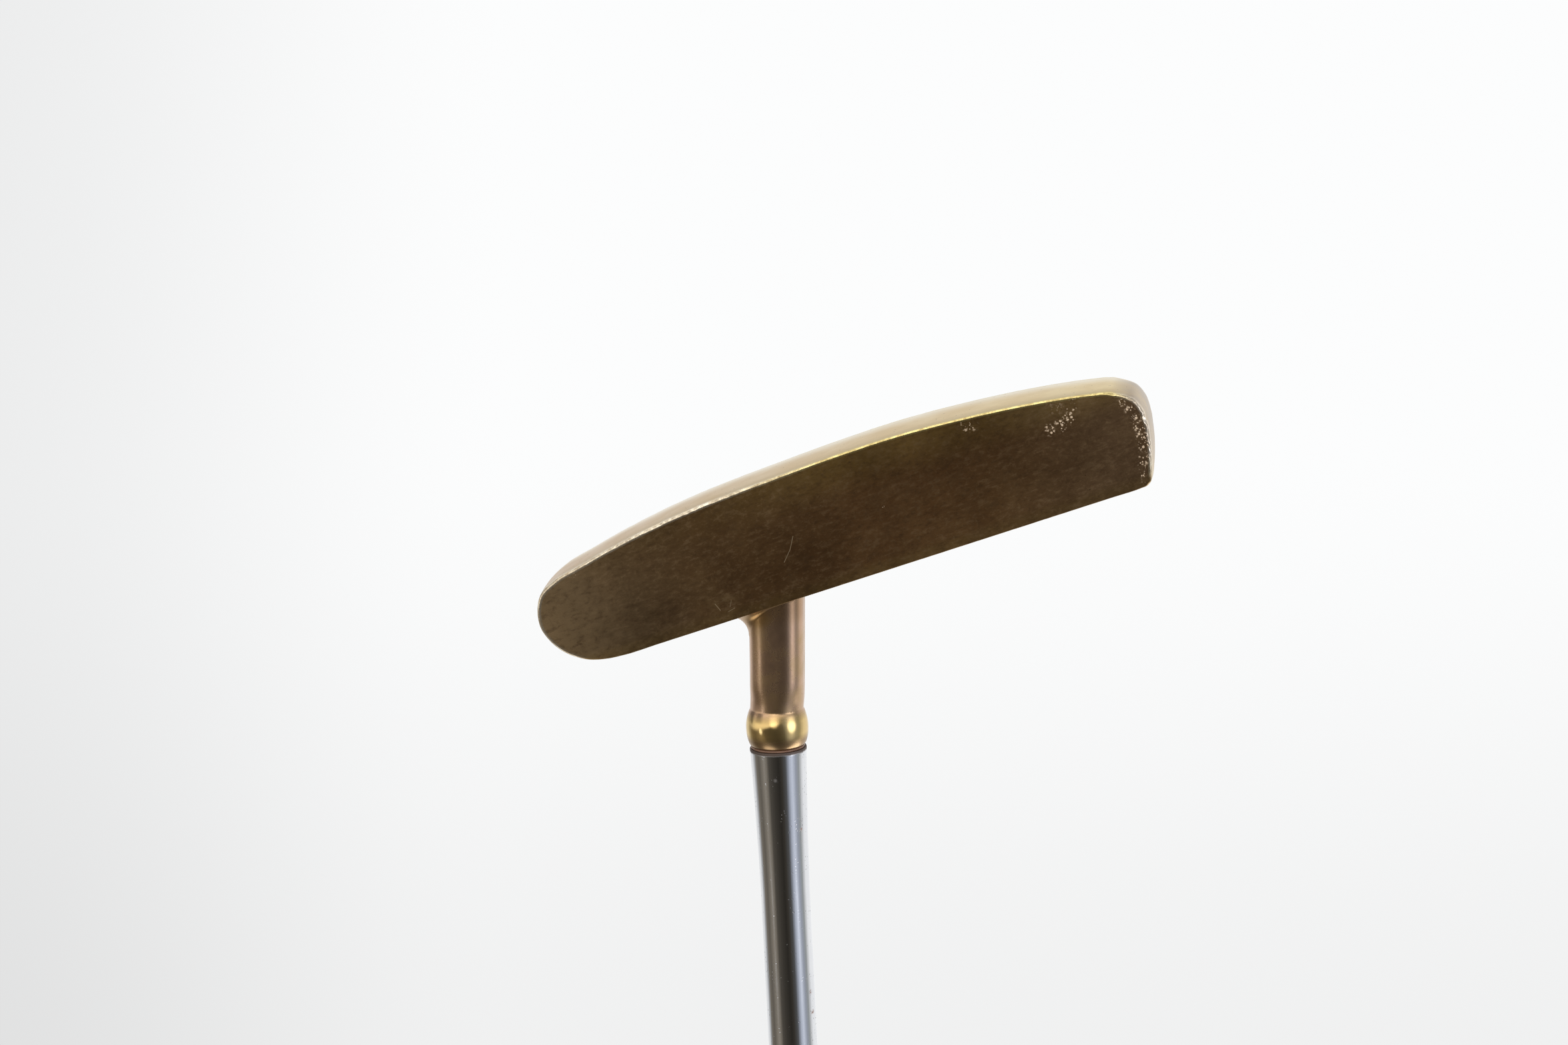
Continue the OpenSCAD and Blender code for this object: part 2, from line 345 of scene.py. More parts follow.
# the soft edges take a little off the outline, so it is drawn that much fuller, except where the sole rests
grow = 0.16 + 0.04 * is_top + 0.30 * is_heel + 0.10 * is_toe
grow = grow + is_heel * (0.30 * np.exp(-((ring[:, 1] - 16) / 3) ** 2) + 0.26 * np.exp(-((ring[:, 1] - 4.5) / 3) ** 2))
grow = grow - 0.38 * np.exp(-((ring[:, 0] - 65.6) / 2.2) ** 2 - ((ring[:, 1] - 17.6) / 2.4) ** 2)
grow = smoothed(grow, 10) * (1 - smoothed(at_rest, 16))
ring = ring + nor * grow[:, None]


def half_t(v):
    return TOP_T / 2 + v * math.tan(rad(LOFT))


def nicks(seed, places):
    """Small dents along the edge, as an inset in mm for each point of the outline."""
    g = np.random.default_rng(seed)
    out = 0.012 * value_noise(along / 1.1, seed) + 0.008 * value_noise(along / 0.45, seed + 1)
    for centre, spread, count, depth in places:
        for _ in range(count):
            c = centre + g.normal(0, spread)
            w = g.uniform(0.18, 0.55)
            d = depth * g.uniform(0.3, 1.0)
            dist = np.abs((along - c + PERIM / 2) % PERIM - PERIM / 2)
            out += d * np.exp(-((dist / w) ** 2))
    return out


def at_u(u, sole=True):
    """Distance round the outline of the point of the sole (or topline) at u."""
    sel = np.where((ring[:, 1] > 8) if sole else (ring[:, 1] < 1))[0]
    return along[sel[np.argmin(np.abs(ring[sel, 0] - u))]]


toe_mid = along[np.argmin(np.abs(ring[:, 0] - 68.3) + np.abs(ring[:, 1] - 9))]
front_nick = nicks(11, [(toe_mid, 5.0, 34, 0.16), (at_u(-18), 8, 26, 0.09), (at_u(5), 10, 14, 0.05), (at_u(62), 3, 8, 0.1)])
back_nick = nicks(23, [(toe_mid, 6.0, 20, 0.12), (at_u(-25), 14, 22, 0.08), (at_u(30), 14, 12, 0.06)])

rows = []
marks = []  # distance in mm from the face edge, for wear: 0 on the rounded edge


def add_row(inset, depth, side):
    """One ring: inset from the outline, depth from the face plane, side -1 front or +1 back."""
    q = ring - nor * inset[:, None]
    y = side * (half_t(q[:, 1]) - depth)
    rows.append(head(np.stack([-q[:, 0], y, -q[:, 1]], -1)))


FLAT_IN = [0.1, 0.2, 0.32, 0.6]


def face_grid(side, nick):
    """The flat face inside its edge, as a fine mesh that keeps the ring as its border."""
    inset = camber + edge_r + FLAT_IN[-1] + nick * 0
    q = ring - nor * inset[:, None]
    pts = [Vector(p) for p in q]
    n = len(pts)
    step = 1.25
    lo, hi = q.min(0), q.max(0)
    inner = ring - nor * (inset + 0.8)[:, None]
    # inside test by crossings
    gx, gy = np.meshgrid(np.arange(lo[0] + 0.4, hi[0], step), np.arange(lo[1] + 0.4, hi[1], step))
    g = np.stack([gx.ravel(), gy.ravel()], -1)
    g[:, 0] += np.where((np.round((g[:, 1] - lo[1]) / step).astype(int) % 2) == 0, 0, step / 2)
    ins = np.zeros(len(g), bool)
    a, b = inner, np.roll(inner, -1, 0)
    for (x0, y0), (x1, y1) in zip(a, b):
        if y0 == y1:
            continue
        c = ((g[:, 1] < y0) != (g[:, 1] < y1)) & (g[:, 0] < (x1 - x0) * (g[:, 1] - y0) / (y1 - y0) + x0)
        ins ^= c
    g = g[ins]
    pts += [Vector(p) for p in g]
    vs, es, fs, ov, oe, of_ = delaunay_2d_cdt(pts, [], [list(range(n))], 1, 1e-6)
    order = [None] * len(vs)
    for i, o in enumerate(ov):
        order[i] = o[0] if o else None
    v2 = np.array([[p.x, p.y] for p in vs])
    y = side * half_t(v2[:, 1])
    pos = head(np.stack([-v2[:, 0], y, -v2[:, 1]], -1))
    return pos, [list(f) for f in fs], order, n


N_ARC = 7
for k_ in FLAT_IN[:0:-1][1:] + [FLAT_IN[0]]:
    add_row(camber + edge_r + k_ + front_nick * 0.35 * (1 - k_ / 0.6), 0, -1)
for k in range(N_ARC + 1):
    phi = rad(90 * k / N_ARC)
    add_row(camber + edge_r * (1 - math.sin(phi)) + front_nick * (0.35 + 0.65 * math.sin(2 * phi)), edge_r * (1 - math.cos(phi)), -1)
N_MID = 13
for k in range(1, N_MID):
    t = -1 + 2 * k / N_MID
    inset = camber * t * t
    q = ring - nor * inset[:, None]
    fade = np.clip((abs(t) - 0.75) / 0.25, 0, 1)
    q = q - nor * ((front_nick if t < 0 else back_nick) * 0.35 * fade)[:, None]
    y = t * (half_t(q[:, 1]) - edge_r)
    rows.append(head(np.stack([-q[:, 0], y, -q[:, 1]], -1)))
for k in range(N_ARC, -1, -1):
    phi = rad(90 * k / N_ARC)
    add_row(camber + edge_r * (1 - math.sin(phi)) + back_nick * (0.35 + 0.65 * math.sin(2 * phi)), edge_r * (1 - math.cos(phi)), 1)
for k_ in FLAT_IN[:-1]:
    add_row(camber + edge_r + k_ + back_nick * 0.35 * (1 - k_ / 0.6), 0, 1)

verts = np.concatenate(rows)
faces = grid_faces(len(rows), NC)
for side, nick, row in ((-1, front_nick, 0), (1, back_nick, len(rows) - 1)):
    pos, fs, order, n = face_grid(side, nick)
    base = len(verts)
    verts = np.concatenate([verts, pos])
    border = {}
    for i, o in enumerate(order):
        if o is not None and o < n:
            border[o] = base + i
    faces += [tuple(base + i for i in f) for f in fs]
    for j in range(n):
        a, b = row * NC + j, row * NC + (j + 1) % NC
        faces.append((a, b, border[(j + 1) % n], border[j]))
blade = tidy(make("blade_tmp", verts, faces))

# ---------------------------------------------------------------- neck, collar and post
COLS = 128
th = np.arange(COLS) * 2 * math.pi / COLS
dn = np.array([math.cos(AN), 0, math.sin(AN)])
e1n = np.array([math.sin(AN), 0, -math.cos(AN)])
ds = np.array([math.cos(AS), 0, math.sin(AS)])
e1s = np.array([math.sin(AS), 0, -math.cos(AS)])
n0 = np.array([-NECK_U, 0, 0.0])
bend_p = n0 + dn * NECK_LEN
rn = NECK_D / 2


def squarish(w):
    """How the hand-dressed neck departs from round at w mm along its axis, as a factor on the radius."""
    k = np.clip((19.2 - w) / 4.0, 0, 1)
    k = k * k * (3 - 2 * k)
    p = 2.0 + 0.55 * k
    return 1 / (np.abs(np.cos(th)) ** p + np.abs(np.sin(th)) ** p) ** (1 / p)


def ring_at(w, r):
    """A ring of the neck or collar at w mm along its axis, easing from the neck axis to the shaft axis."""
    lean = 0.0
    if w < 20:
        lean = (0.06 + 0.10 * min(1, max(0, (14 - w) / 14))) * min(1, (20 - w) / 3)
        r = (r + lean) * squarish(w)[:, None]
    k = np.clip((w - 17.5) / 5.0, 0, 1)
    k = k * k * (3 - 2 * k)
    c = (n0 + dn * w) * (1 - k) + (bend_p + ds * (w - NECK_LEN)) * k
    e1 = e1n * (1 - k) + e1s * k
    e1 = e1 / np.linalg.norm(e1)
    c = c + e1 * lean
    return c + r * (np.cos(th)[:, None] * e1 + np.sin(th)[:, None] * EY)


cosv = np.cos(th)
fil = np.where(cosv > 0, 0.70 + 2.9 * cosv**2, 0.70 + 0.45 * cosv**2)
nrows = []
rad_dir = cosv[:, None] * e1n + np.sin(th)[:, None] * EY
foot = n0 + e1n * 0.16 + (rn + 0.16) * squarish(0.0)[:, None] * rad_dir
foot = foot - dn * (foot[:, 2] / dn[2])[:, None]
hor = rad_dir * np.array([1, 1, 0])
hor /= np.linalg.norm(hor, axis=1)[:, None]
alpha = np.arccos(np.clip(hor @ dn, -1, 1))
L = fil / np.tan(alpha / 2)
p0, p2 = foot + hor * L[:, None], foot + dn * L[:, None]
wq = np.sin(alpha / 2)[:, None]
skirt = foot + hor * (L * 0.97)[:, None]
nrows.append(skirt * np.array([1, 1, 0]) + np.array([0, 0, -2.2]))
nrows.append(p0 + np.array([0, 0, -0.5]) - hor * 0.02)
for k in range(0, 13):
    t = k / 12
    num = p0 * (1 - t) ** 2 + foot * wq * (2 * t * (1 - t)) + p2 * t * t
    den = (1 - t) ** 2 + wq * (2 * t * (1 - t)) + t * t
    q = num / den
    q[:, 2] -= 0.045 * (1 - t) ** 2
    nrows.append(q)
for w in [7.0, 8.5, 10, 11.5, 13, 14.5, 16, 17.25, 18.25, 19.0, 19.6]:
    nrows.append(ring_at(w, rn))
c, dlt = COLLAR_D / 2, COLLAR_D / 2 - rn
spine = smooth_line([(20.05, rn), (20.35, rn + 0.02), (20.75, rn + dlt * 0.25), (21.55, rn + dlt * 0.57), (22.55, rn + dlt * 0.88), (23.45, c), (24.45, c - 0.01),
                     (25.1, c - 0.07), (25.7, c - 0.18), (26.33, c - 0.35), (26.75, c - 0.52), (27.02, c - 0.70), (27.16, c - 0.86), (27.2, c - 1.0)], 0.2)
for w, r in spine:
    nrows.append(ring_at(w, r))


def flare_r(s):
    return TIP_D / 2 + (MOUTH_D - TIP_D) / 2 * (1 - min(1.0, (s - MOUTH) / FLARE)) ** 1.5


def wall(s):
    return WALL_TIP + (WALL_BUTT - WALL_TIP) * s / BUTT_S


def bore_r(s):
    return flare_r(s) - wall(s)


post = [(27.2, bore_r(MOUTH) - GLUE)] + [(NECK_LEN + MOUTH + (POST_LEN - 1) * k / 10, bore_r(MOUTH + (POST_LEN - 1) * k / 10) - GLUE) for k in range(11)]
post += [(NECK_LEN + POST_S - 0.5, bore_r(POST_S) - GLUE - 0.3), (NECK_LEN + POST_S, bore_r(POST_S) - GLUE - 0.9)]
for w, r in post:
    nrows.append(ring_at(w, r))
nv = np.concatenate([head(r) for r in nrows])
nf = grid_faces(len(nrows), COLS)
nf.append(tuple(range(COLS - 1, -1, -1)))
nf.append(tuple((len(nrows) - 1) * COLS + j for j in range(COLS)))
neck = tidy(make("neck_tmp", nv, nf))

mod = blade.modifiers.new("join", "BOOLEAN")
mod.operation, mod.solver, mod.object = "UNION", "EXACT", neck
dg = bpy.context.evaluated_depsgraph_get()
joined = bpy.data.meshes.new_from_object(blade.evaluated_get(dg), depsgraph=dg)
blade.modifiers.clear()
old = [blade.data, neck.data]
bpy.data.objects.remove(neck)
bpy.data.objects.remove(blade)
putter_head = bpy.data.objects.new("putter_head", joined)
joined.name = "putter_head"
bpy.context.scene.collection.objects.link(putter_head)
tidy(putter_head, 1e-7)
set_sharp(putter_head, 38)

# Wear, as a vertex value: how polished the metal is. The sole, the edges and the collar are bright, the faces and neck
# dull. The bright edge line is partly polished wear and partly a painted highlight, kept off the topline edge; low
# marks the lower collar, darkened partly as painted shade, and thick places painted light and shade across the sole
# band.
me = putter_head.data
co = np.empty(len(me.vertices) * 3)
me.vertices.foreach_get("co", co)
co = co.reshape(-1, 3) * 1000
hx = co[:, 0] * ct - co[:, 2] * st - REST[0]
hz = co[:, 0] * st + co[:, 2] * ct - REST[1]
u, v, yy = -hx, -hz, co[:, 1]
edge_gap = half_t(v) - np.abs(yy)  # 0 on the face plane, large on the perimeter
is_blade = v > -0.25
near_i = np.zeros(len(u), int)
for s0 in range(0, len(u), 4000):
    d = ((np.stack([u, v], -1)[s0:s0 + 4000, None] - ring[None]) ** 2).sum(-1)
    near_i[s0:s0 + 4000] = d.argmin(1)
d_in = ((ring[near_i] - np.stack([u, v], -1)) * nor[near_i]).sum(1)
e_in = d_in - (camber + edge_r)[near_i]          # beyond 0 the flat of the face begins
e_gap = edge_gap - edge_r[near_i]                # beyond 0 the perimeter begins
# The edge value: polished wear on the rounded face edge, partly a painted highlight; it is kept off the topline edge.
off_top = np.clip((v - 1.2) / 2.0, 0, 1)
edge = np.where(is_blade, np.clip(1 - (e_in - 0.02) / 0.26, 0, 1) * np.clip(1 - (e_gap - 0.05) / 0.5, 0, 1) * off_top, 0)
perim = np.where(is_blade, np.clip((edge_gap - 0.10) / 0.35, 0, 1) * np.clip(1 - e_in / 0.3, 0, 1), 0)
sx = co @ DS - B @ DS  # along the shaft from the bend
on_collar = np.where(~is_blade, np.clip((sx + 5.4) / 1.6, 0, 1), 0)
on_neck = np.where(~is_blade, 1.0, 0.0) * (1 - on_collar)
along_u = np.clip((u + 46.0) / 114.0, 0, 1)  # 0 at the heel, 1 at the toe
depth_v = np.clip(v / 22.5, 0, 1)             # 0 at the topline, 1 at the sole
toe_end = np.where(is_blade, np.clip((u - 64.0) / 3.0, 0, 1), 0)
for nm, arr in (("edge", edge), ("perim", perim), ("collar", on_collar), ("neck", on_neck), ("along", along_u), ("depth", depth_v), ("toe", toe_end), ("low", np.where(~is_blade, np.clip((sx + 1.5) / 1.3, 0, 1), 0)), ("thick", np.clip(yy / half_t(v) * 0.5 + 0.5, 0, 1))):
    at = me.attributes.new(nm, "FLOAT", "POINT")
    at.data.foreach_set("value", arr.astype(np.float32))

# ---------------------------------------------------------------- shaft
outer = [(MOUTH_D / 2 - 0.18, MOUTH), (MOUTH_D / 2 - 0.05, MOUTH + 0.05), (MOUTH_D / 2 - 0.01, MOUTH + 0.2)]
outer += [(flare_r(MOUTH + s), MOUTH + s) for s in (0.8, 2, 3.5, 5, 7, 9, 11.5, 14, 17, 20, 23, FLARE)]
outer += [(TIP_D / 2, s) for s in np.linspace(40, FIRST - 3, 8)]
up = (BUTT_D - TIP_D) / 2 / STEPS
for k in range(STEPS):
    r0, s0 = TIP_D / 2 + up * k, FIRST + GAP * k
    outer += [(r0, s0 - 0.9), (r0 + 0.02 * up, s0 - 0.35), (r0 + 0.16 * up, s0), (r0 + 0.5 * up, s0 + 0.45), (r0 + 0.84 * up, s0 + 0.9),
              (r0 + 0.98 * up, s0 + 1.25), (r0 + up, s0 + 1.8)]
    if k < STEPS - 1:
        outer += [(r0 + up, s0 + GAP * 0.5)]
outer += [(BUTT_D / 2, s) for s in np.linspace(FIRST + GAP * STEPS, BUTT_S - 0.1, 8)]
inner = [(r - wall(s), s) for r, s in outer[::-1]]
inner[-1] = (bore_r(MOUTH) + 0.03, MOUTH)
shaft_piece = lathe("chrome_shaft", outer + inner, shaft, 96)
set_sharp(shaft_piece, 40)


# ---------------------------------------------------------------- adhesive
def bead_wobble(i, a, r, z):
    if r < 4.7:
        return 0 * a
    return 0.04 * np.sin(3 * a + 1) + 0.03 * np.sin(7 * a + 2.2) + 0.02 * np.sin(17 * a)


film = [(bore_r(MOUTH + s) - 0.005, MOUTH + s) for s in np.linspace(0.0, POST_LEN - 1, 9)]
film_in = [(r - GLUE + 0.01, s) for r, s in film[::-1]]
bead = [(4.5, RIM + 0.005), (4.72, RIM + 0.01), (4.83, RIM + 0.05), (4.89, RIM + 0.12), (4.91, RIM + 0.22), (4.89, RIM + 0.32), (4.83, RIM + 0.395)]
glue_piece = lathe("adhesive_bead", film_in + bead + film, shaft, 96, wobble=bead_wobble)

# ---------------------------------------------------------------- grip section
TAB = np.array([
    [0, 9, 9, 9, 2], [0.045, 9, 9, 9, 2], [0.1, 9.3, 8.95, 9.7, 2.5], [0.18, 9.8, 8.9, 10.6, 3.2], [0.28, 10.2, 8.9, 11.4, 3.8],
    [0.4, 10.6, 8.9, 12, 4], [0.54, 11, 8.9, 12.5, 4], [0.66, 11.2, 8.9, 13.1, 4], [0.76, 11.4, 8.9, 14, 4], [0.85, 11.7, 8.95, 15.2, 4],
    [0.93, 12, 9, 16.3, 4], [1, 12.2, 9.1, 16.8, 4]])


def table_at(f):
    """The section table at fraction f of the grip, smoothly."""
    f = np.clip(f, 0, 1)
    x = TAB[:, 0]
    out = []
    for c_ in range(1, 5):
        y = TAB[:, c_]
        m = np.gradient(y, x)
        i = np.clip(np.searchsorted(x, f, "right") - 1, 0, len(x) - 2)
        h = x[i + 1] - x[i]
        t = (f - x[i]) / h
        out.append(y[i] * (2 * t**3 - 3 * t**2 + 1) + m[i] * h * (t**3 - 2 * t**2 + t) + y[i + 1] * (3 * t**2 - 2 * t**3) + m[i + 1] * h * (t**3 - t**2))
    return out


def grip_r(a, f, grow):
    """Radius of the grip at angle a (0 is the thumb side) and fraction f, grown by grow mm."""
    w, fr, bk, p = table_at(f)
    cc, ss = np.cos(a), np.sin(a)
    # ease between the thumb side and the back so that the side has no kink
    k = np.clip(cc / 0.25 * 0.5 + 0.5, 0, 1)
    k = k * k * (3 - 2 * k)
    d = fr * k + bk * (1 - k) + grow
    pp = p * k + 2.1 * (1 - k)
    return 1 / ((np.abs(cc) / d) ** pp + (np.abs(ss) / (w + grow)) ** pp) ** (1 / pp)


# ---------------------------------------------------------------- leather strip, wound in a spiral
NCOL, PITCH = 144, 20.5
vm = np.array([0, .006, .014, .024, .038, .058, .085, .12, .17, .23, .3, .38, .46, .54, .62, .7, .77, .83, .88, .92, .948, .968, .982, .992])
prof_v = [0, .006, .014, .024, .038, .058, .085, .12, .17, .3, .5, .7, .88, .92, .948, .968, .982, .992, 1]
prof_h = [-.42, -.12, .10, .22, .27, .28, .27, .25, .22, .16, .12, .09, .05, .03, .0, -.05, -.13, -.27, -.42]
M = len(vm)
turns = int(math.ceil(GRIP_LEN / PITCH)) + 2
R = turns * M + M
ii = np.arange(R)
vv = (ii // M) - 1 + vm[ii % M]
ang = np.arange(NCOL) * 2 * math.pi / NCOL


def leather_pos(a, s, raw=None):
    """Point of the leather's outside at angle a and height s, both arrays."""
    ph = (s - WRAP_S) / PITCH - a / (2 * math.pi)
    h = np.interp(ph - np.floor(ph + 1e-9), prof_v, prof_h)
    f = (s - WRAP_S) / GRIP_LEN
    # the winding pulls in a little at both ends, where it is held down
    h = h * np.clip((s - WRAP_S) / 12, 0.0, 1) * np.clip((BUTT_S - s) / 4, 0.3, 1)
    lump = 0.10 * np.sin(a * 2 + s * 0.11) * np.sin(s * 0.045 + 1) + 0.05 * np.sin(a * 5 + s * 0.31)
    lump = lump * np.clip((s - WRAP_S) / 20, 0, 1) * np.clip((BUTT_S - s) / 8, 0, 1)
    r = grip_r(a, f, LEATHER - 0.16 + h + lump)
    return np.stack([-r * np.cos(a), r * np.sin(a), s], -1)


aa, vvv = np.meshgrid(ang, vv, indexing="ij")
ss = np.clip(WRAP_S + PITCH * (vvv + aa / (2 * math.pi)), WRAP_S, BUTT_S)
P = leather_pos(aa, ss).reshape(-1, 3)
lf, luv = [], []


def uv_of(j, i):
    s = min(max(WRAP_S + PITCH * (vv[i] + j / NCOL), WRAP_S), BUTT_S)
    return (j / NCOL, (s - WRAP_S) / PITCH)


for j in range(NCOL):
    for i in range(R - 1):
        if j < NCOL - 1:
            q = (j * R + i, (j + 1) * R + i, (j + 1) * R + i + 1, j * R + i + 1)
            w4 = ((j, i), (j + 1, i), (j + 1, i + 1), (j, i + 1))
        else:
            if i + 1 + M >= R:
                continue
            q = (j * R + i, i + M, i + 1 + M, j * R + i + 1)
            w4 = ((j, i), (NCOL, i), (NCOL, i + 1), (j, i + 1))
        s_lo = WRAP_S + PITCH * (vv[i] + w4[0][0] / NCOL)
        s_hi = WRAP_S + PITCH * (vv[i + 1] + w4[1][0] / NCOL)
        if s_hi <= WRAP_S or s_lo >= BUTT_S:
            continue
        lf.append(q)
        luv.append([uv_of(*x) for x in w4])
base = len(P)
in_rows = 14
sr = np.linspace(WRAP_S, BUTT_S, in_rows)
end_lo = leather_pos(ang, np.full(NCOL, WRAP_S))
end_hi = leather_pos(ang, np.full(NCOL, BUTT_S))
inn = []
for s in sr:
    r = grip_r(ang, (s - WRAP_S) / GRIP_LEN, 0.03)
    inn.append(np.stack([-r * np.cos(ang), r * np.sin(ang), np.full(NCOL, s)], -1))
P = np.concatenate([P, end_lo] + inn + [end_hi])
g2 = grid_faces(in_rows + 2, NCOL, base=base)
lf += g2
luv += [[(0, 0)] * 4] * len(g2)
me = bpy.data.meshes.new("leather_strip")
me.from_pydata([tuple(x) for x in shaft(P) / 1000], [], lf)
uvl = me.uv_layers.new(name="strip")
flat_uv = np.array(luv, np.float32).reshape(-1)
uvl.data.foreach_set("uv", flat_uv)
leather = bpy.data.objects.new("leather_strip", me)
bpy.context.scene.collection.objects.link(leather)
tidy(leather, 2e-7)
set_sharp(leather, 60)

# ---------------------------------------------------------------- whipping thread
r_t = WHIP_T / 2
turns_w = (WHIP - 2 * r_t) / (WHIP_T * 0.985)
n_seg = int(turns_w * 72)
tt = np.linspace(0, turns_w * 2 * math.pi, n_seg)
rc = 9 + LEATHER + r_t - 0.05
zc = WRAP_S + r_t + tt / (2 * math.pi) * WHIP_T * 0.985
# both ends tuck under the turns
tuck = np.minimum(tt, tt[-1] - tt)
rc_a = rc - 0.35 * np.clip(1 - tuck / 0.35, 0, 1) ** 2
S = 10
tv = []
for k in range(n_seg):
    e = np.array([math.cos(tt[k]), math.sin(tt[k]), 0])
    for m in range(S):
        b = 2 * math.pi * m / S
        tv.append(e * (rc_a[k] + r_t * math.cos(b)) + np.array([0, 0, zc[k] + r_t * math.sin(b)]))
tf = grid_faces(n_seg, S) + [tuple(range(S - 1, -1, -1)), tuple((n_seg - 1) * S + m for m in range(S))]
thread = tidy(make("whipping_thread", shaft(np.array(tv)), tf))
uvl = thread.data.uv_layers.new(name="thread")
th_uv = []
for poly in thread.data.polygons:
    for vi in poly.vertices:
        th_uv += [(vi % S) / S, (vi // S) / 72.0]
uvl.data.foreach_set("uv", np.array(th_uv, np.float32))

# ---------------------------------------------------------------- lower collar
rb = BUTT_D / 2
boot = [(rb + 0.02, WRAP_S - BOOT), (rb + 0.45, WRAP_S - BOOT), (rb + 0.7, WRAP_S - BOOT + 0.12), (rb + 0.86, WRAP_S - BOOT + 0.5), (rb + 0.92, WRAP_S - BOOT + 1.1),
        (rb + 0.86, WRAP_S - BOOT + 1.6), (rb + 0.8, WRAP_S - BOOT + 2.0), (rb + 0.9, WRAP_S - BOOT + 2.6)]
for k in range(1, 9):
    t = k / 8
    boot.append((rb + 0.9 + (9 + LEATHER + 0.45 - rb - 0.9) * (t ** 0.85), WRAP_S - BOOT + 2.6 + (BOOT - 4.2) * t))
boot += [(9 + LEATHER + 0.62, WRAP_S - 1.1), (9 + LEATHER + 0.66, WRAP_S - 0.7), (9 + LEATHER + 0.6, WRAP_S - 0.3), (9 + LEATHER + 0.42, WRAP_S - 0.06), (9 + LEATHER + 0.2, WRAP_S - 0.02), (rb + 0.02, WRAP_S - 0.02)]
boot_piece = lathe("rubber_collar", boot, shaft, 96)
set_sharp(boot_piece, 45)

# ---------------------------------------------------------------- cap
NCAP = 144
ca = np.arange(NCAP) * 2 * math.pi / NCAP
sec = grip_r(ca, np.full(NCAP, 1.0), 0.0)


def cap_ring(grow, z, shrink=0.0, hole=3.75):
    """A ring of the cap: the grip's section grown by grow, drawn in towards the screw hole by shrink."""
    r = sec + grow
    r = r * (1 - shrink) + hole * shrink
    return np.stack([-r * np.cos(ca), r * np.sin(ca), np.full(NCAP, BUTT_S + z)], -1)


crow = []
G = LEATHER
for r_ in (1.66,):
    crow.append(np.stack([-r_ * np.cos(ca), r_ * np.sin(ca), np.full(NCAP, BUTT_S + 0.02)], -1))
crow.append(cap_ring(-2.0, 0.02))
for g_, z in ((G + 0.12, 0.02), (G + 0.34, 0.1), (G + 0.44, 0.32), (G + 0.46, 0.7), (G + 0.46, 1.3), (G + 0.40, 1.55), (G + 0.22, 1.7), (G + 0.12, 1.85), (G + 0.16, 2.02),
              (G + 0.30, 2.2), (G + 0.34, 2.5), (G + 0.28, 3.0), (G + 0.12, 3.5), (G - 0.18, 4.0), (G - 0.62, 4.45), (G - 1.2, 4.84), (G - 1.9, 5.16), (G - 2.8, 5.44)):
    crow.append(cap_ring(g_, z))
for k in range(1, 9):
    t = k / 8
    crow.append(cap_ring(G - 2.8, 5.44 + (CAP_T - 5.44) * math.sin(math.pi / 2 * t) * 0.98, shrink=t))
for r_, z in ((3.68, CAP_T - 0.06), (3.6, CAP_T - 0.2), (3.58, CAP_T - 0.5), (1.66, CAP_T - 2.2)):
    crow.append(np.stack([-r_ * np.cos(ca), r_ * np.sin(ca), np.full(NCAP, BUTT_S + z)], -1))
cv = np.concatenate(crow)
cf = grid_faces(len(crow), NCAP)
n = len(crow)
for j in range(NCAP):
    cf.append(((n - 1) * NCAP + j, (n - 1) * NCAP + (j + 1) % NCAP, (j + 1) % NCAP, j))
cap = tidy(make("butt_cap", shaft(cv), cf))
set_sharp(cap, 42)

# ---------------------------------------------------------------- screw
scr = [(0.35, BUTT_S - 14.9), (1.1, BUTT_S - 14.2), (1.3, BUTT_S - 13.0)]
z = BUTT_S - 13.0
while z < BUTT_S - 3:
    scr += [(1.58, z + 0.35), (1.3, z + 0.9)]
    z += 1.1
scr += [(1.58, z + 0.2), (1.58, CAP_S - 2.25), (1.62, CAP_S - 2.2), (3.5, CAP_S - 0.52), (3.54, CAP_S - 0.44), (3.5, CAP_S - 0.36), (3.1, CAP_S - 0.26), (2.2, CAP_S - 0.16), (1.1, CAP_S - 0.1)]
screw = lathe("slotted_screw", scr, shaft, 64, loop=False)
slot_b = []
for dx in (-4.2, 4.2):
    for dy in (-0.48, 0.48):
        for dz in (-1.05, 0.9):
            # the slot lies a little askew, as a hand-driven screw's does
            ca_, sa_ = math.cos(rad(28)), math.sin(rad(28))
            slot_b.append((dx * ca_ - dy * sa_, dx * sa_ + dy * ca_, CAP_S + dz))
cut = make("slot_tmp", shaft(np.array(slot_b)), [(0, 1, 3, 2), (4, 6, 7, 5), (0, 4, 5, 1), (2, 3, 7, 6), (0, 2, 6, 4), (1, 5, 7, 3)], smooth=False)
tidy(cut)
mod = screw.modifiers.new("slot", "BOOLEAN")
mod.operation, mod.solver, mod.object = "DIFFERENCE", "EXACT", cut
dg = bpy.context.evaluated_depsgraph_get()
sm = bpy.data.meshes.new_from_object(screw.evaluated_get(dg), depsgraph=dg)
screw.modifiers.clear()
screw.data = sm
sm.name = "slotted_screw"
bpy.data.objects.remove(cut)
tidy(screw, 1e-7)
set_sharp(screw, 35)


# ---------------------------------------------------------------- materials
def material(name):
    m = bpy.data.materials.new(name)
    m.use_nodes = True
    nt = m.node_tree
    nt.nodes.clear()
    out = nt.nodes.new("ShaderNodeOutputMaterial")
    bs = nt.nodes.new("ShaderNodeBsdfPrincipled")
    nt.links.new(bs.outputs[0], out.inputs[0])
    return m, nt, bs


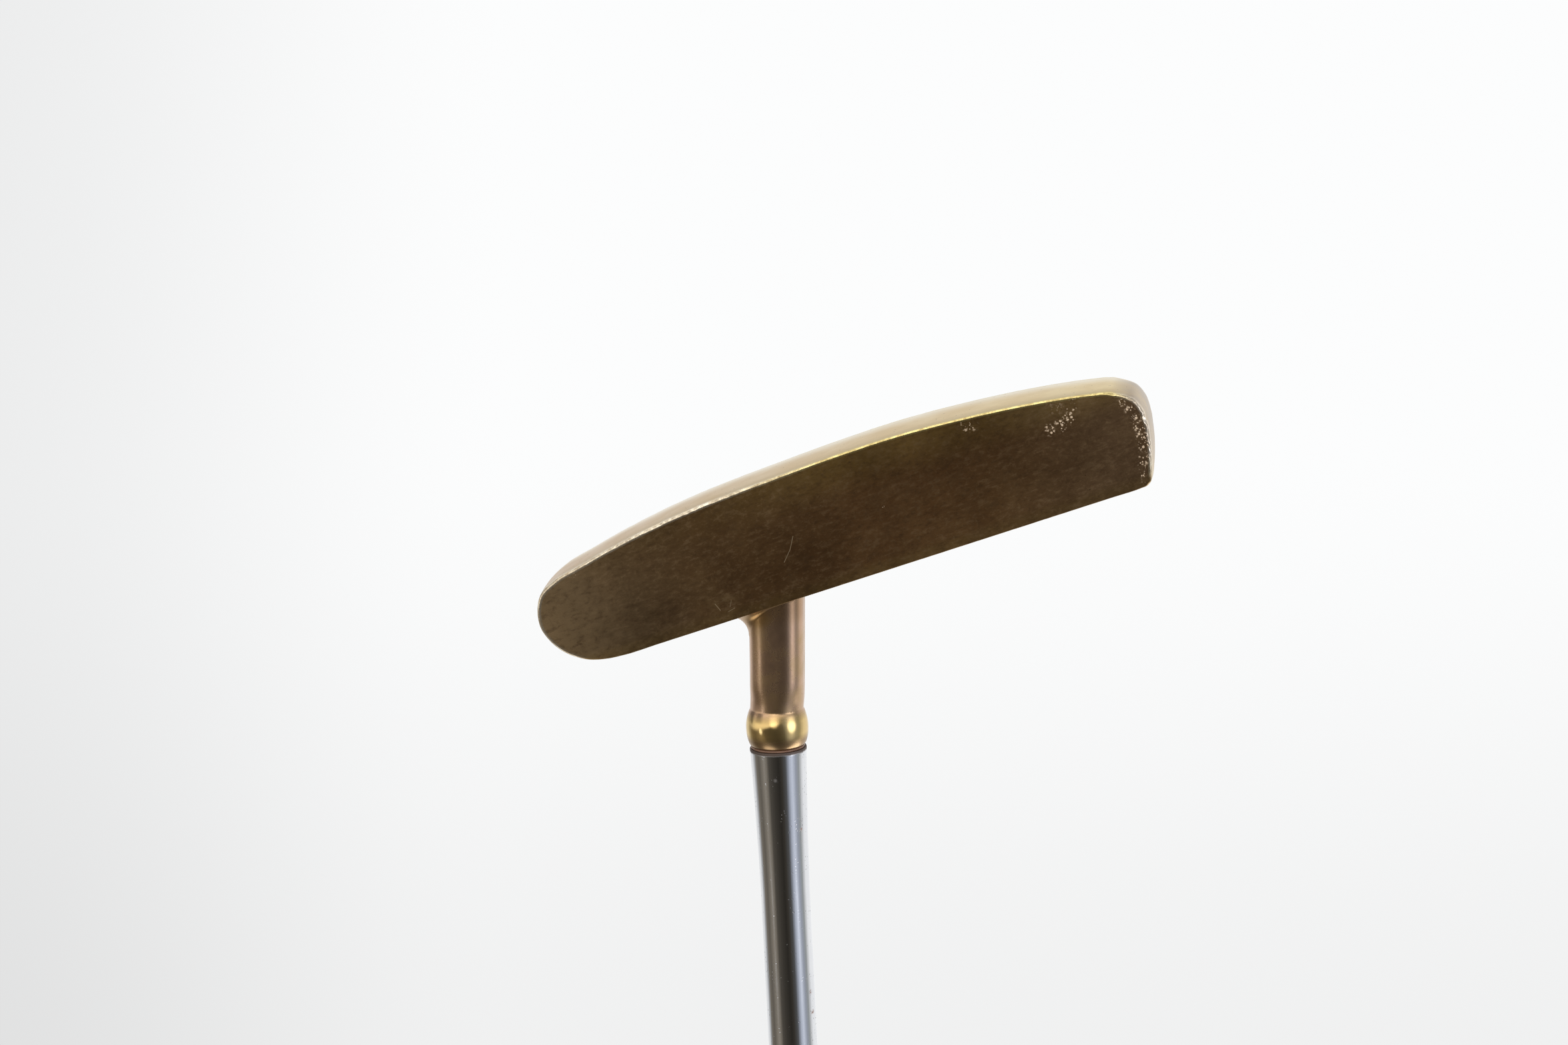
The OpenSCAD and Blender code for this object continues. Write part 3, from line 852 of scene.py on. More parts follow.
class N:
    """Small helpers to write node trees in a line each."""

    def __init__(self, nt):
        self.nt = nt

    def new(self, kind, **kw):
        n = self.nt.nodes.new(kind)
        for k, v_ in kw.items():
            setattr(n, k, v_)
        return n

    def put(self, sock, val):
        if hasattr(val, "is_output") or isinstance(val, bpy.types.NodeSocket):
            self.nt.links.new(val, sock)
        else:
            sock.default_value = val

    def obj(self):
        return self.new("ShaderNodeTexCoord").outputs["Object"]

    def attr(self, name):
        n = self.new("ShaderNodeAttribute", attribute_name=name)
        return n.outputs["Fac"]

    def mapped(self, vec, scale=(1, 1, 1), rot=(0, 0, 0), loc=(0, 0, 0)):
        n = self.new("ShaderNodeMapping")
        self.put(n.inputs["Vector"], vec)
        n.inputs["Scale"].default_value = scale
        n.inputs["Rotation"].default_value = rot
        n.inputs["Location"].default_value = loc
        return n.outputs[0]

    def noise(self, vec, scale, detail=3.0, rough=0.5, dist=0.0):
        n = self.new("ShaderNodeTexNoise")
        self.put(n.inputs["Vector"], vec)
        n.inputs["Scale"].default_value = scale
        n.inputs["Detail"].default_value = detail
        n.inputs["Roughness"].default_value = rough
        n.inputs["Distortion"].default_value = dist
        return n.outputs["Fac"]

    def voronoi(self, vec, scale, feature="F1", rand=1.0, out="Distance"):
        n = self.new("ShaderNodeTexVoronoi", feature=feature)
        self.put(n.inputs["Vector"], vec)
        n.inputs["Scale"].default_value = scale
        n.inputs["Randomness"].default_value = rand
        return n.outputs[out]

    def m(self, op, a, b=0.0, c=None, clamp=False):
        n = self.new("ShaderNodeMath", operation=op, use_clamp=clamp)
        self.put(n.inputs[0], a)
        self.put(n.inputs[1], b)
        if c is not None:
            self.put(n.inputs[2], c)
        return n.outputs[0]

    def vm(self, op, a, b=(0, 0, 0), out="Vector"):
        n = self.new("ShaderNodeVectorMath", operation=op)
        self.put(n.inputs[0], a)
        self.put(n.inputs[1], b)
        return n.outputs[out]

    def ramp(self, fac, lo, hi, a=0.0, b=1.0, smooth=True):
        n = self.new("ShaderNodeMapRange", interpolation_type="SMOOTHSTEP" if smooth else "LINEAR")
        n.clamp = True
        self.put(n.inputs["Value"], fac)
        self.put(n.inputs["From Min"], lo)
        self.put(n.inputs["From Max"], hi)
        self.put(n.inputs["To Min"], a)
        self.put(n.inputs["To Max"], b)
        return n.outputs["Result"]

    def mix(self, fac, a, b, kind="MIX"):
        n = self.new("ShaderNodeMix", data_type="RGBA", blend_type=kind)
        self.put(n.inputs["Factor"], fac)
        self.put(n.inputs[6], a if not isinstance(a, tuple) or len(a) == 4 else (*a, 1))
        self.put(n.inputs[7], b if not isinstance(b, tuple) or len(b) == 4 else (*b, 1))
        return n.outputs[2]

    def mixf(self, fac, a, b):
        n = self.new("ShaderNodeMix", data_type="FLOAT")
        self.put(n.inputs["Factor"], fac)
        self.put(n.inputs[2], a)
        self.put(n.inputs[3], b)
        return n.outputs[0]

    def bump(self, height, strength, distance, normal=None):
        n = self.new("ShaderNodeBump")
        self.put(n.inputs["Height"], height)
        n.inputs["Strength"].default_value = strength
        n.inputs["Distance"].default_value = distance
        if normal is not None:
            self.put(n.inputs["Normal"], normal)
        return n.outputs[0]

    def near(self, vec, point_mm, inner, outer):
        """1 near a point of the row frame, 0 beyond outer mm."""
        d = self.vm("DISTANCE", vec, tuple(c_ / 1000 for c_ in point_mm), out="Value")
        return self.ramp(d, inner / 1000, outer / 1000, 1.0, 0.0)


def face_point(u_, v_, side=-1):
    return tuple(head((-u_, side * half_t(v_), -v_)))


# --- brass of the head
brass, nt, bs = material("worn_brass")
g = N(nt)
co_ = g.obj()
w_edge, w_perim, w_collar, w_neck, w_along, w_depth, w_toe = (g.attr(k) for k in ("edge", "perim", "collar", "neck", "along", "depth", "toe"))
cloud = g.noise(co_, 42.0, 4.0, 0.55)
cloud2 = g.noise(g.mapped(co_, loc=(3, 1, 7)), 130.0, 5.0, 0.6)
fine = g.noise(co_, 1500.0, 3.0, 0.6)
# brushed lines, mostly along the blade
brush_v = g.mapped(co_, scale=(0.35, 3.0, 6.0), rot=(0, rad(-TILT), 0))
brush = g.noise(brush_v, 900.0, 4.0, 0.65)
brush2 = g.noise(g.mapped(co_, scale=(5.0, 3.0, 0.5), rot=(0, rad(20), 0)), 700.0, 3.0, 0.6)
# the faces: brown in the middle, greyer at the heel, olive along the sole edge
wob = g.m("ADD", w_along, g.m("MULTIPLY", g.m("SUBTRACT", cloud, 0.5), 0.18))
brown = g.mix(g.ramp(cloud, 0.35, 0.65), (0.205, 0.112, 0.050, 1), (0.232, 0.136, 0.060, 1))
heel_c = g.mix(g.ramp(cloud, 0.35, 0.65), (0.225, 0.160, 0.092, 1), (0.245, 0.180, 0.108, 1))
toe_c = (0.250, 0.165, 0.100, 1)
dull = g.mix(g.ramp(wob, 0.03, 0.36), heel_c, brown)
dull = g.mix(g.ramp(wob, 0.72, 1.0, 0.0, 0.8), dull, toe_c)
sole_olive = g.m("MULTIPLY", g.ramp(g.m("ADD", w_depth, g.m("MULTIPLY", g.m("SUBTRACT", cloud2, 0.5), 0.12)), 0.60, 0.97), g.ramp(w_along, 0.25, 0.5, 0.35, 1.0))
dull = g.mix(g.m("MULTIPLY", sole_olive, 0.75), dull, (0.285, 0.190, 0.062, 1))
lift = g.m("MULTIPLY", g.ramp(g.m("ADD", w_depth, g.m("MULTIPLY", g.m("SUBTRACT", cloud2, 0.5), 0.2)), 0.62, 0.92), g.ramp(w_along, 0.74, 0.90))
dull = g.mix(g.m("MULTIPLY", lift, 0.85), dull, (0.40, 0.275, 0.120, 1))
top_olive = g.ramp(w_depth, 0.02, 0.12, 0.55, 0.0)
dull = g.mix(top_olive, dull, (0.250, 0.170, 0.066, 1))
# Brightness along the face, heel to toe: partly patina tone, partly a painted reflection, much lighter at the heel end.
face_tone_and_reflection = g.new("ShaderNodeValToRGB")
g.put(face_tone_and_reflection.inputs[0], g.m("ADD", w_along, g.m("MULTIPLY", g.m("SUBTRACT", cloud, 0.5), 0.06)))
marks_ = [(0.0, 1.75), (0.045, 1.45), (0.09, 1.04), (0.15, 0.76), (0.30, 0.68), (0.42, 0.70), (0.53, 0.95), (0.64, 0.96), (0.75, 0.80), (0.86, 0.72), (1.0, 0.70)]
while len(face_tone_and_reflection.color_ramp.elements) < len(marks_):
    face_tone_and_reflection.color_ramp.elements.new(0.5)
for el, (p_, k_) in zip(face_tone_and_reflection.color_ramp.elements, marks_):
    el.position = p_
for el, (p_, k_) in zip(face_tone_and_reflection.color_ramp.elements, marks_):
    el.color = (k_ / 2, k_ / 2 * 0.97, k_ / 2 * 0.91, 1)
face_tone_and_reflection_x2 = g.new("ShaderNodeVectorMath", operation="SCALE")
g.put(face_tone_and_reflection_x2.inputs[0], face_tone_and_reflection.outputs[0])
face_tone_and_reflection_x2.inputs["Scale"].default_value = 2.0
dull = g.mix(1.0, dull, face_tone_and_reflection_x2.outputs[0], "MULTIPLY")
grain = g.noise(g.mapped(co_, scale=(0.55, 1.0, 1.2), rot=(0, rad(-TILT), 0)), 1000.0, 3.0, 0.7)
grain2 = g.noise(g.mapped(co_, loc=(5, 2, 1)), 330.0, 4.0, 0.6)
dull = g.mix(g.ramp(grain, 0.50, 0.70, 0.0, 0.27), dull, (0.40, 0.285, 0.165, 1))
dull = g.mix(g.ramp(grain, 0.30, 0.50, 0.45, 0.0), dull, (0.090, 0.052, 0.026, 1))
dull = g.mix(g.ramp(grain2, 0.48, 0.68, 0.0, 0.12), dull, (0.32, 0.22, 0.115, 1))
dull = g.mix(g.ramp(grain2, 0.32, 0.48, 0.13, 0.0), dull, (0.12, 0.072, 0.036, 1))
dull = g.mix(g.ramp(fine, 0.5, 0.8, 0.0, 0.35), dull, (0.34, 0.23, 0.12, 1))
dull = g.mix(g.ramp(g.noise(co_, 700.0, 4.0, 0.7), 0.5, 0.75, 0.0, 0.4), dull, (0.12, 0.07, 0.035, 1))
sole_c = g.mix(w_along, (0.64, 0.475, 0.315, 1), (0.94, 0.775, 0.43, 1))
sole_c = g.mix(g.ramp(cloud2, 0.35, 0.65, 0.0, 0.30), sole_c, (0.57, 0.43, 0.27, 1))
w_thick = g.attr("thick")
# Across the sole band: darker towards the face edge as painted shade, lighter and whiter towards the back edge as a
# painted highlight.
sole_c = g.mix(g.ramp(w_thick, 0.0, 0.30, 0.55, 0.0), sole_c, (0.52, 0.40, 0.20, 1))
sole_c = g.mix(g.ramp(w_thick, 0.45, 1.0, 0.0, 0.85), sole_c, (0.97, 0.92, 0.80, 1))
sole_c = g.mix(w_toe, sole_c, g.mix(g.ramp(cloud2, 0.4, 0.6), (0.46, 0.37, 0.265, 1), (0.60, 0.48, 0.32, 1)))
# Bright edge line colour: partly polished wear, partly a painted highlight, creamy at the heel and gold towards the
# toe.
edge_wear_and_highlight_c = g.mix(g.ramp(w_along, 0.3, 0.55), (0.93, 0.85, 0.70, 1), (0.87, 0.745, 0.34, 1))
edge_wear_and_highlight_c = g.mix(w_toe, edge_wear_and_highlight_c, (0.92, 0.82, 0.68, 1))
pink = (0.56, 0.375, 0.255, 1)
worn_n = g.ramp(g.m("ADD", g.m("MULTIPLY", fine, 0.6), g.m("MULTIPLY", cloud2, 0.5)), 0.42, 0.66)
broken = g.ramp(g.noise(g.mapped(co_, loc=(7, 3, 2)), 620.0, 4.0, 0.7), 0.34, 0.56, 0.55, 1.0)
edge_wear_and_highlight = g.m("MULTIPLY", g.m("MULTIPLY", w_edge, g.mixf(worn_n, 0.5, 1.0)), broken, clamp=True)
col = g.mix(w_perim, dull, sole_c)
neck_c = g.mix(g.ramp(cloud2, 0.4, 0.62), pink, (0.49, 0.335, 0.19, 1))
col = g.mix(w_neck, col, neck_c)
col = g.mix(g.m("MULTIPLY", w_collar, g.ramp(cloud2, 0.2, 0.45, 0.8, 1.0)), col, (0.72, 0.53, 0.235, 1))
# Lower collar towards the rim: darker brown and rougher, partly patina and partly painted shade.
w_low = g.attr("low")
low_collar_patina_and_shade = g.m("MULTIPLY", w_low, g.ramp(g.m("ADD", cloud2, g.m("MULTIPLY", fine, 0.3)), 0.3, 0.6, 0.75, 1.0))
col = g.mix(g.m("MULTIPLY", low_collar_patina_and_shade, 0.85), col, (0.26, 0.165, 0.095, 1))
col = g.mix(edge_wear_and_highlight, col, edge_wear_and_highlight_c)
# rubbed bright patches on the front face
spots = g.m("MAXIMUM", g.ramp(g.voronoi(co_, 2300.0), 0.16, 0.42, 1.0, 0.0), g.m("MULTIPLY", g.ramp(g.voronoi(g.mapped(co_, loc=(0.4, 0.2, 0.6)), 1250.0), 0.20, 0.40, 1.0, 0.0), 0.9))
spots = g.m("MULTIPLY", spots, g.ramp(g.noise(co_, 780.0, 3.0, 0.65), 0.42, 0.52))
patches = None
for (pu, pv, r_in, r_out, k0) in ((51.7, 15.0, 0.5, 1.5, 1.0), (53.6, 15.1, 0.6, 1.6, 1.0), (55.4, 15.8, 0.6, 1.7, 1.0), (56.8, 17.3, 0.4, 1.7, 0.8), (57.5, 19.0, 0.3, 1.6, 0.5), (54.0, 18.6, 0.3, 2.6, 0.35), (38.2, 20.4, 0.6, 1.9, 0.62), (39.2, 20.0, 0.4, 1.5, 0.6), (65.2, 15.6, 0.2, 1.2, 0.8), (66.2, 14.0, 0.3, 1.3, 1.0), (66.6, 12.3, 0.4, 1.4, 1.0), (66.8, 10.6, 0.5, 1.5, 1.0), (66.7, 8.9, 0.5, 1.5, 1.0), (66.4, 7.2, 0.5, 1.5, 1.0), (65.9, 5.5, 0.4, 1.4, 0.9), (65.2, 3.9, 0.4, 1.3, 0.9), (64.4, 2.4, 0.3, 1.2, 0.7), (64.2, 0.9, 0.2, 0.8, 0.5), (-3.2, 13.2, 0.12, 0.3, 0.9), (8.8, 14.8, 0.14, 0.34, 0.9), (19.3, 11.2, 0.14, 0.32, 0.9), (-38.0, 17.0, 0.2, 1.2, 0.6)):
    k_ = g.m("MULTIPLY", g.near(co_, face_point(pu, pv), r_in, r_out), k0)
    patches = k_ if patches is None else g.m("MAXIMUM", patches, k_)
patch = g.m("MULTIPLY", g.ramp(patches, 0.0, 0.85), spots, clamp=True)
col = g.mix(g.m("MULTIPLY", patch, 0.95), col, (0.98, 0.78, 0.58, 1))


def segment(p_, q_, half):
    """1 along a thin straight mark on the front face between two points, half mm wide."""
    a_, b_ = np.array(face_point(*p_)) / 1000, np.array(face_point(*q_)) / 1000
    ab = b_ - a_
    rel = g.vm("SUBTRACT", co_, tuple(a_))
    t_ = g.m("DIVIDE", g.vm("DOT_PRODUCT", rel, tuple(ab), out="Value"), float(ab @ ab), clamp=True)
    foot_n = g.new("ShaderNodeVectorMath", operation="SCALE")
    foot_n.inputs[0].default_value = tuple(ab)
    g.put(foot_n.inputs["Scale"], t_)
    dd = g.vm("DISTANCE", rel, foot_n.outputs[0], out="Value")
    return g.ramp(dd, half / 1000 * 0.3, half / 1000, 1.0, 0.0)


scratch = g.m("MULTIPLY", g.m("MAXIMUM", segment((-0.9, 7.1), (0.9, 9.0), 0.10), segment((0.9, 9.0), (2.2, 11.1), 0.10)), 0.45)
for p_, q_, k0 in (((-15.4, 3.7), (-14.9, 2.3), 0.40), ((-13.6, 1.6), (-12.3, 1.9), 0.30), ((-12.4, 3.4), (-13.0, 2.4), 0.22)):
    scratch = g.m("MAXIMUM", scratch, g.m("MULTIPLY", segment(p_, q_, 0.11), k0))
col = g.mix(scratch, col, (0.80, 0.66, 0.46, 1))
smudge = g.m("MULTIPLY", g.near(co_, face_point(-14.0, 3.6), 0.5, 5.5), g.ramp(g.noise(co_, 420.0, 4.0, 0.65), 0.46, 0.62))
col = g.mix(g.m("MULTIPLY", smudge, 0.16), col, (0.40, 0.29, 0.14, 1))
# painted shade: the neck's fillet in the corner under the topline beside the neck is darkened to brown, standing in for
# the dark face it reflects
corner = g.near(co_, tuple(head((9.4, -4.8, 1.3))), 0.9, 3.2)
col = g.mix(g.m("MULTIPLY", g.m("MULTIPLY", corner, w_neck), 0.8), col, (0.30, 0.175, 0.060, 1))
# Painted shade round the foot of the neck, where it meets the blade.
neck_foot_shade = g.m("MULTIPLY", w_neck, g.ramp(g.vm("DISTANCE", co_, tuple(c_ / 1000 for c_ in head((5.6, 0, 0.0))), out="Value"), 0.0052, 0.0068, 1.0, 0.0))
col = g.mix(g.m("MULTIPLY", neck_foot_shade, 0.4), col, (0.30, 0.165, 0.060, 1))
# scattered dark pits
pit = g.ramp(g.voronoi(g.mapped(co_, loc=(0.3, 0.1, 0.2)), 420.0), 0.03, 0.07, 1.0, 0.0)
pit = g.m("MULTIPLY", pit, g.ramp(g.noise(co_, 160.0, 2.0), 0.50, 0.58))
pit2 = g.m("MULTIPLY", g.ramp(g.voronoi(g.mapped(co_, loc=(0.1, 0.5, 0.7)), 900.0), 0.05, 0.14, 1.0, 0.0), g.m("MULTIPLY", w_perim, g.ramp(g.noise(co_, 300.0, 2.0), 0.48, 0.58)))
col = g.mix(g.m("MULTIPLY", g.m("MAXIMUM", pit, pit2), 0.8), col, (0.07, 0.04, 0.02, 1))
g.put(bs.inputs["Base Color"], col)
g.put(bs.inputs["Metallic"], g.m("SUBTRACT", 0.94, g.m("MULTIPLY", patch, 0.75)))
ro = g.mixf(w_perim, g.ramp(g.m("ADD", cloud, g.m("MULTIPLY", brush, 0.4)), 0.4, 1.0, 0.34, 0.50), g.ramp(cloud2, 0.3, 0.7, 0.30, 0.40))
ro = g.mixf(w_neck, ro, g.ramp(cloud2, 0.3, 0.7, 0.22, 0.32))
ro = g.mixf(w_collar, ro, g.ramp(cloud2, 0.3, 0.7, 0.10, 0.17))
ro = g.mixf(low_collar_patina_and_shade, ro, 0.30)
ro = g.mixf(edge_wear_and_highlight, ro, 0.22)
g.put(bs.inputs["Roughness"], ro)
h = g.m("ADD", g.m("MULTIPLY", brush, 0.5), g.m("MULTIPLY", brush2, 0.25))
h = g.m("ADD", h, g.m("MULTIPLY", fine, 0.3))
h = g.m("SUBTRACT", h, g.m("MULTIPLY", g.m("MAXIMUM", pit, pit2), 0.8))
h = g.m("SUBTRACT", h, g.m("MULTIPLY", patch, 0.9))
h = g.m("SUBTRACT", h, scratch)
h = g.m("MULTIPLY", h, g.mixf(w_collar, 1.0, 0.35))
g.put(bs.inputs["Normal"], g.bump(h, 0.30, 0.00006))
putter_head.data.materials.clear()
putter_head.data.materials.append(brass)

# --- chrome
chrome, nt, bs = material("pitted_chrome")
g = N(nt)
co_ = g.obj()
pitn = g.voronoi(co_, 1500.0)
pits = g.m("MULTIPLY", g.ramp(pitn, 0.10, 0.26, 1.0, 0.0), g.ramp(g.noise(co_, 320.0, 4.0, 0.65), 0.46, 0.64))
cl = g.noise(co_, 60.0, 4.0, 0.6)
rust = g.m("MULTIPLY", g.ramp(g.voronoi(g.mapped(co_, loc=(0.02, 0.05, 0.01)), 160.0), 0.02, 0.10, 1.0, 0.0), g.ramp(g.noise(co_, 45.0, 2.0), 0.56, 0.60))
for p_ in ((-4.4, -1.9, 51.5), (-3.9, -3.0, 16.5), (-4.3, -2.2, 47.6)):
    rust = g.m("MAXIMUM", rust, g.m("MULTIPLY", g.near(co_, tuple(shaft(np.array(p_))), 0.15, 0.75), g.ramp(g.noise(co_, 1100.0, 3.0), 0.4, 0.55)))
col = g.mix(g.ramp(cl, 0.3, 0.7), (0.80, 0.81, 0.83, 1), (0.72, 0.735, 0.76, 1))
col = g.mix(g.m("MULTIPLY", pits, 0.75), col, (0.24, 0.23, 0.22, 1))
col = g.mix(rust, col, (0.22, 0.075, 0.022, 1))
along_s = g.vm("DOT_PRODUCT", g.vm("SUBTRACT", co_, tuple(float(k) / 1000 for k in B)), tuple(float(k) for k in DS), out="Value")
mouth_n = g.ramp(g.m("ADD", along_s, g.m("MULTIPLY", g.m("SUBTRACT", g.noise(co_, 700.0, 3.0), 0.5), 0.0003)), (MOUTH + 0.35) / 1000, (MOUTH + 0.80) / 1000, 1.0, 0.0)
col = g.mix(g.m("MULTIPLY", mouth_n, 0.92), col, (0.10, 0.065, 0.05, 1))
g.put(bs.inputs["Base Color"], col)
g.put(bs.inputs["Metallic"], g.m("SUBTRACT", 1.0, g.m("MULTIPLY", rust, 0.9)))
ro = g.ramp(cl, 0.3, 0.7, 0.055, 0.13)
ro = g.mixf(pits, ro, 0.42)
ro = g.mixf(rust, ro, 0.8)
ro = g.mixf(mouth_n, ro, 0.6)
g.put(bs.inputs["Roughness"], ro)
h = g.m("SUBTRACT", g.m("MULTIPLY", g.noise(g.mapped(co_, scale=(1, 1, 0.25)), 500.0, 3.0), 0.25), pits)
h = g.m("ADD", h, g.m("MULTIPLY", rust, 1.2))
g.put(bs.inputs["Normal"], g.bump(h, 0.22, 0.00005))
shaft_piece.data.materials.append(chrome)

# --- adhesive
glue_m, nt, bs = material("amber_adhesive")
g = N(nt)
co_ = g.obj()
g.put(bs.inputs["Base Color"], g.mix(g.noise(co_, 700.0, 3.0), (0.17, 0.085, 0.05, 1), (0.30, 0.18, 0.13, 1)))
g.put(bs.inputs["Roughness"], g.ramp(g.noise(co_, 900.0, 2.0), 0.3, 0.7, 0.3, 0.55))
g.put(bs.inputs["Normal"], g.bump(g.noise(co_, 1400.0, 3.0), 0.4, 0.0001))
glue_piece.data.materials.append(glue_m)

# --- leather
hide, nt, bs = material("wound_leather")
g = N(nt)
co_ = g.obj()
uvn = g.new("ShaderNodeUVMap", uv_map="strip")
sep = g.new("ShaderNodeSeparateXYZ")
g.put(sep.inputs[0], uvn.outputs[0])
X, Y = sep.outputs[0], sep.outputs[1]
diag = g.m("SUBTRACT", Y, X)
across = g.m("FRACT", diag)
run = g.m("MULTIPLY", g.m("ADD", g.m("FLOOR", diag), X), 82.0)  # mm along the strip
cell_a = g.m("SUBTRACT", g.m("FRACT", g.m("DIVIDE", run, 4.1)), 0.5)
cell_a = g.m("MULTIPLY", cell_a, 4.1)
cell_c = g.m("MULTIPLY", g.m("SUBTRACT", g.m("FRACT", g.m("MULTIPLY", across, 5.0)), 0.5), PITCH / 5.0)
hole_d = g.m("SQRT", g.m("ADD", g.m("MULTIPLY", cell_a, cell_a), g.m("MULTIPLY", cell_c, cell_c)))
in_band = g.m("MULTIPLY", g.ramp(across, 0.14, 0.18), g.ramp(across, 0.82, 0.86, 1.0, 0.0))
hole = g.m("MULTIPLY", g.ramp(hole_d, 0.34, 0.56, 1.0, 0.0), in_band)
seam = g.m("MAXIMUM", g.ramp(across, 0.0, 0.035, 1.0, 0.0), g.ramp(across, 0.955, 1.0))
grain = g.voronoi(co_, 1050.0, "F1")
grain2 = g.noise(co_, 420.0, 5.0, 0.6)
wearn = g.noise(co_, 26.0, 3.0, 0.55)
shine = g.ramp(wearn, 0.42, 0.66)
base_c = g.mix(g.ramp(grain2, 0.3, 0.7), (0.066, 0.028, 0.013, 1), (0.118, 0.052, 0.024, 1))
base_c = g.mix(g.m("MULTIPLY", shine, 0.6), base_c, (0.175, 0.083, 0.040, 1))
ridge = g.m("MULTIPLY", g.ramp(across, 0.014, 0.03), g.ramp(across, 0.06, 0.11, 1.0, 0.0))
base_c = g.mix(g.m("MULTIPLY", ridge, g.ramp(grain2, 0.35, 0.6, 0.25, 0.85)), base_c, (0.27, 0.145, 0.075, 1))
base_c = g.mix(g.m("MULTIPLY", seam, 0.8), base_c, (0.018, 0.008, 0.005, 1))
base_c = g.mix(hole, base_c, (0.010, 0.005, 0.003, 1))
g.put(bs.inputs["Base Color"], base_c)
ro = g.mixf(shine, 0.56, 0.40)
ro = g.mixf(hole, ro, 0.8)
g.put(bs.inputs["Roughness"], ro)
bs.inputs["Specular IOR Level"].default_value = 0.42
h = g.m("ADD", g.m("MULTIPLY", grain, 0.35), g.m("MULTIPLY", grain2, 0.8))
h = g.m("SUBTRACT", h, g.m("MULTIPLY", hole, 2.6))
g.put(bs.inputs["Normal"], g.bump(h, 0.55, 0.00022))
leather.data.materials.clear()
leather.data.materials.append(hide)

# --- thread
cordm, nt, bs = material("waxed_thread")
g = N(nt)
uvn = g.new("ShaderNodeUVMap", uv_map="thread")
sep = g.new("ShaderNodeSeparateXYZ")
g.put(sep.inputs[0], uvn.outputs[0])
tw = g.m("FRACT", g.m("ADD", g.m("MULTIPLY", sep.outputs[1], 46.0), g.m("MULTIPLY", sep.outputs[0], 3.0)))
ply = g.m("ABSOLUTE", g.m("SUBTRACT", tw, 0.5))
co_ = g.obj()
g.put(bs.inputs["Base Color"], g.mix(g.ramp(ply, 0.05, 0.5), (0.050, 0.040, 0.030, 1), (0.012, 0.010, 0.009, 1)))
g.put(bs.inputs["Roughness"], g.ramp(g.noise(co_, 600.0, 2.0), 0.3, 0.7, 0.38, 0.6))
g.put(bs.inputs["Normal"], g.bump(g.m("SUBTRACT", g.noise(co_, 2500.0, 2.0), g.m("MULTIPLY", ply, 2.0)), 0.5, 0.00012))
thread.data.materials.append(cordm)

# --- rubber
rub, nt, bs = material("moulded_rubber")
g = N(nt)
co_ = g.obj()
dust = g.noise(co_, 70.0, 4.0, 0.6)
g.put(bs.inputs["Base Color"], g.mix(g.ramp(dust, 0.4, 0.75), (0.018, 0.017, 0.016, 1), (0.050, 0.046, 0.042, 1)))
g.put(bs.inputs["Roughness"], g.ramp(dust, 0.3, 0.7, 0.52, 0.72))
g.put(bs.inputs["Normal"], g.bump(g.noise(co_, 1600.0, 4.0, 0.6), 0.35, 0.00008))
boot_piece.data.materials.append(rub)

# --- cap plastic
capm, nt, bs = material("cap_plastic")
g = N(nt)
co_ = g.obj()
sc = g.noise(g.mapped(co_, scale=(1, 6, 1), rot=(0.4, 0.2, 0.9)), 260.0, 4.0, 0.7)
g.put(bs.inputs["Base Color"], g.mix(g.ramp(g.noise(co_, 55.0, 3.0), 0.35, 0.7), (0.014, 0.013, 0.013, 1), (0.034, 0.031, 0.029, 1)))
g.put(bs.inputs["Roughness"], g.ramp(sc, 0.35, 0.7, 0.24, 0.46))
g.put(bs.inputs["Normal"], g.bump(g.m("ADD", sc, g.m("MULTIPLY", g.noise(co_, 1900.0, 2.0), 0.3)), 0.16, 0.00008))
cap.data.materials.append(capm)

# --- screw brass
scm, nt, bs = material("screw_brass")
g = N(nt)
co_ = g.obj()
tn = g.noise(co_, 300.0, 4.0, 0.6)
g.put(bs.inputs["Base Color"], g.mix(g.ramp(tn, 0.35, 0.7), (0.62, 0.46, 0.20, 1), (0.36, 0.25, 0.12, 1)))
bs.inputs["Metallic"].default_value = 1.0
g.put(bs.inputs["Roughness"], g.ramp(tn, 0.3, 0.7, 0.22, 0.42))
g.put(bs.inputs["Normal"], g.bump(g.noise(g.mapped(co_, scale=(1, 4, 1)), 1800.0, 3.0), 0.2, 0.00005))
screw.data.materials.clear()
screw.data.materials.append(scm)

# --- wood of the plug
wood, nt, bs = material("plug_wood")
g = N(nt)
co_ = g.mapped(g.obj(), rot=(0, rad(-(90 - LIE)), 0))
wv = g.noise(g.mapped(co_, scale=(9, 9, 0.7)), 160.0, 5.0, 0.6, 0.4)
g.put(bs.inputs["Base Color"], g.mix(g.ramp(wv, 0.35, 0.65), (0.56, 0.37, 0.20, 1), (0.34, 0.20, 0.10, 1)))
g.put(bs.inputs["Roughness"], g.ramp(wv, 0.3, 0.7, 0.6, 0.8))
g.put(bs.inputs["Normal"], g.bump(wv, 0.3, 0.0002))

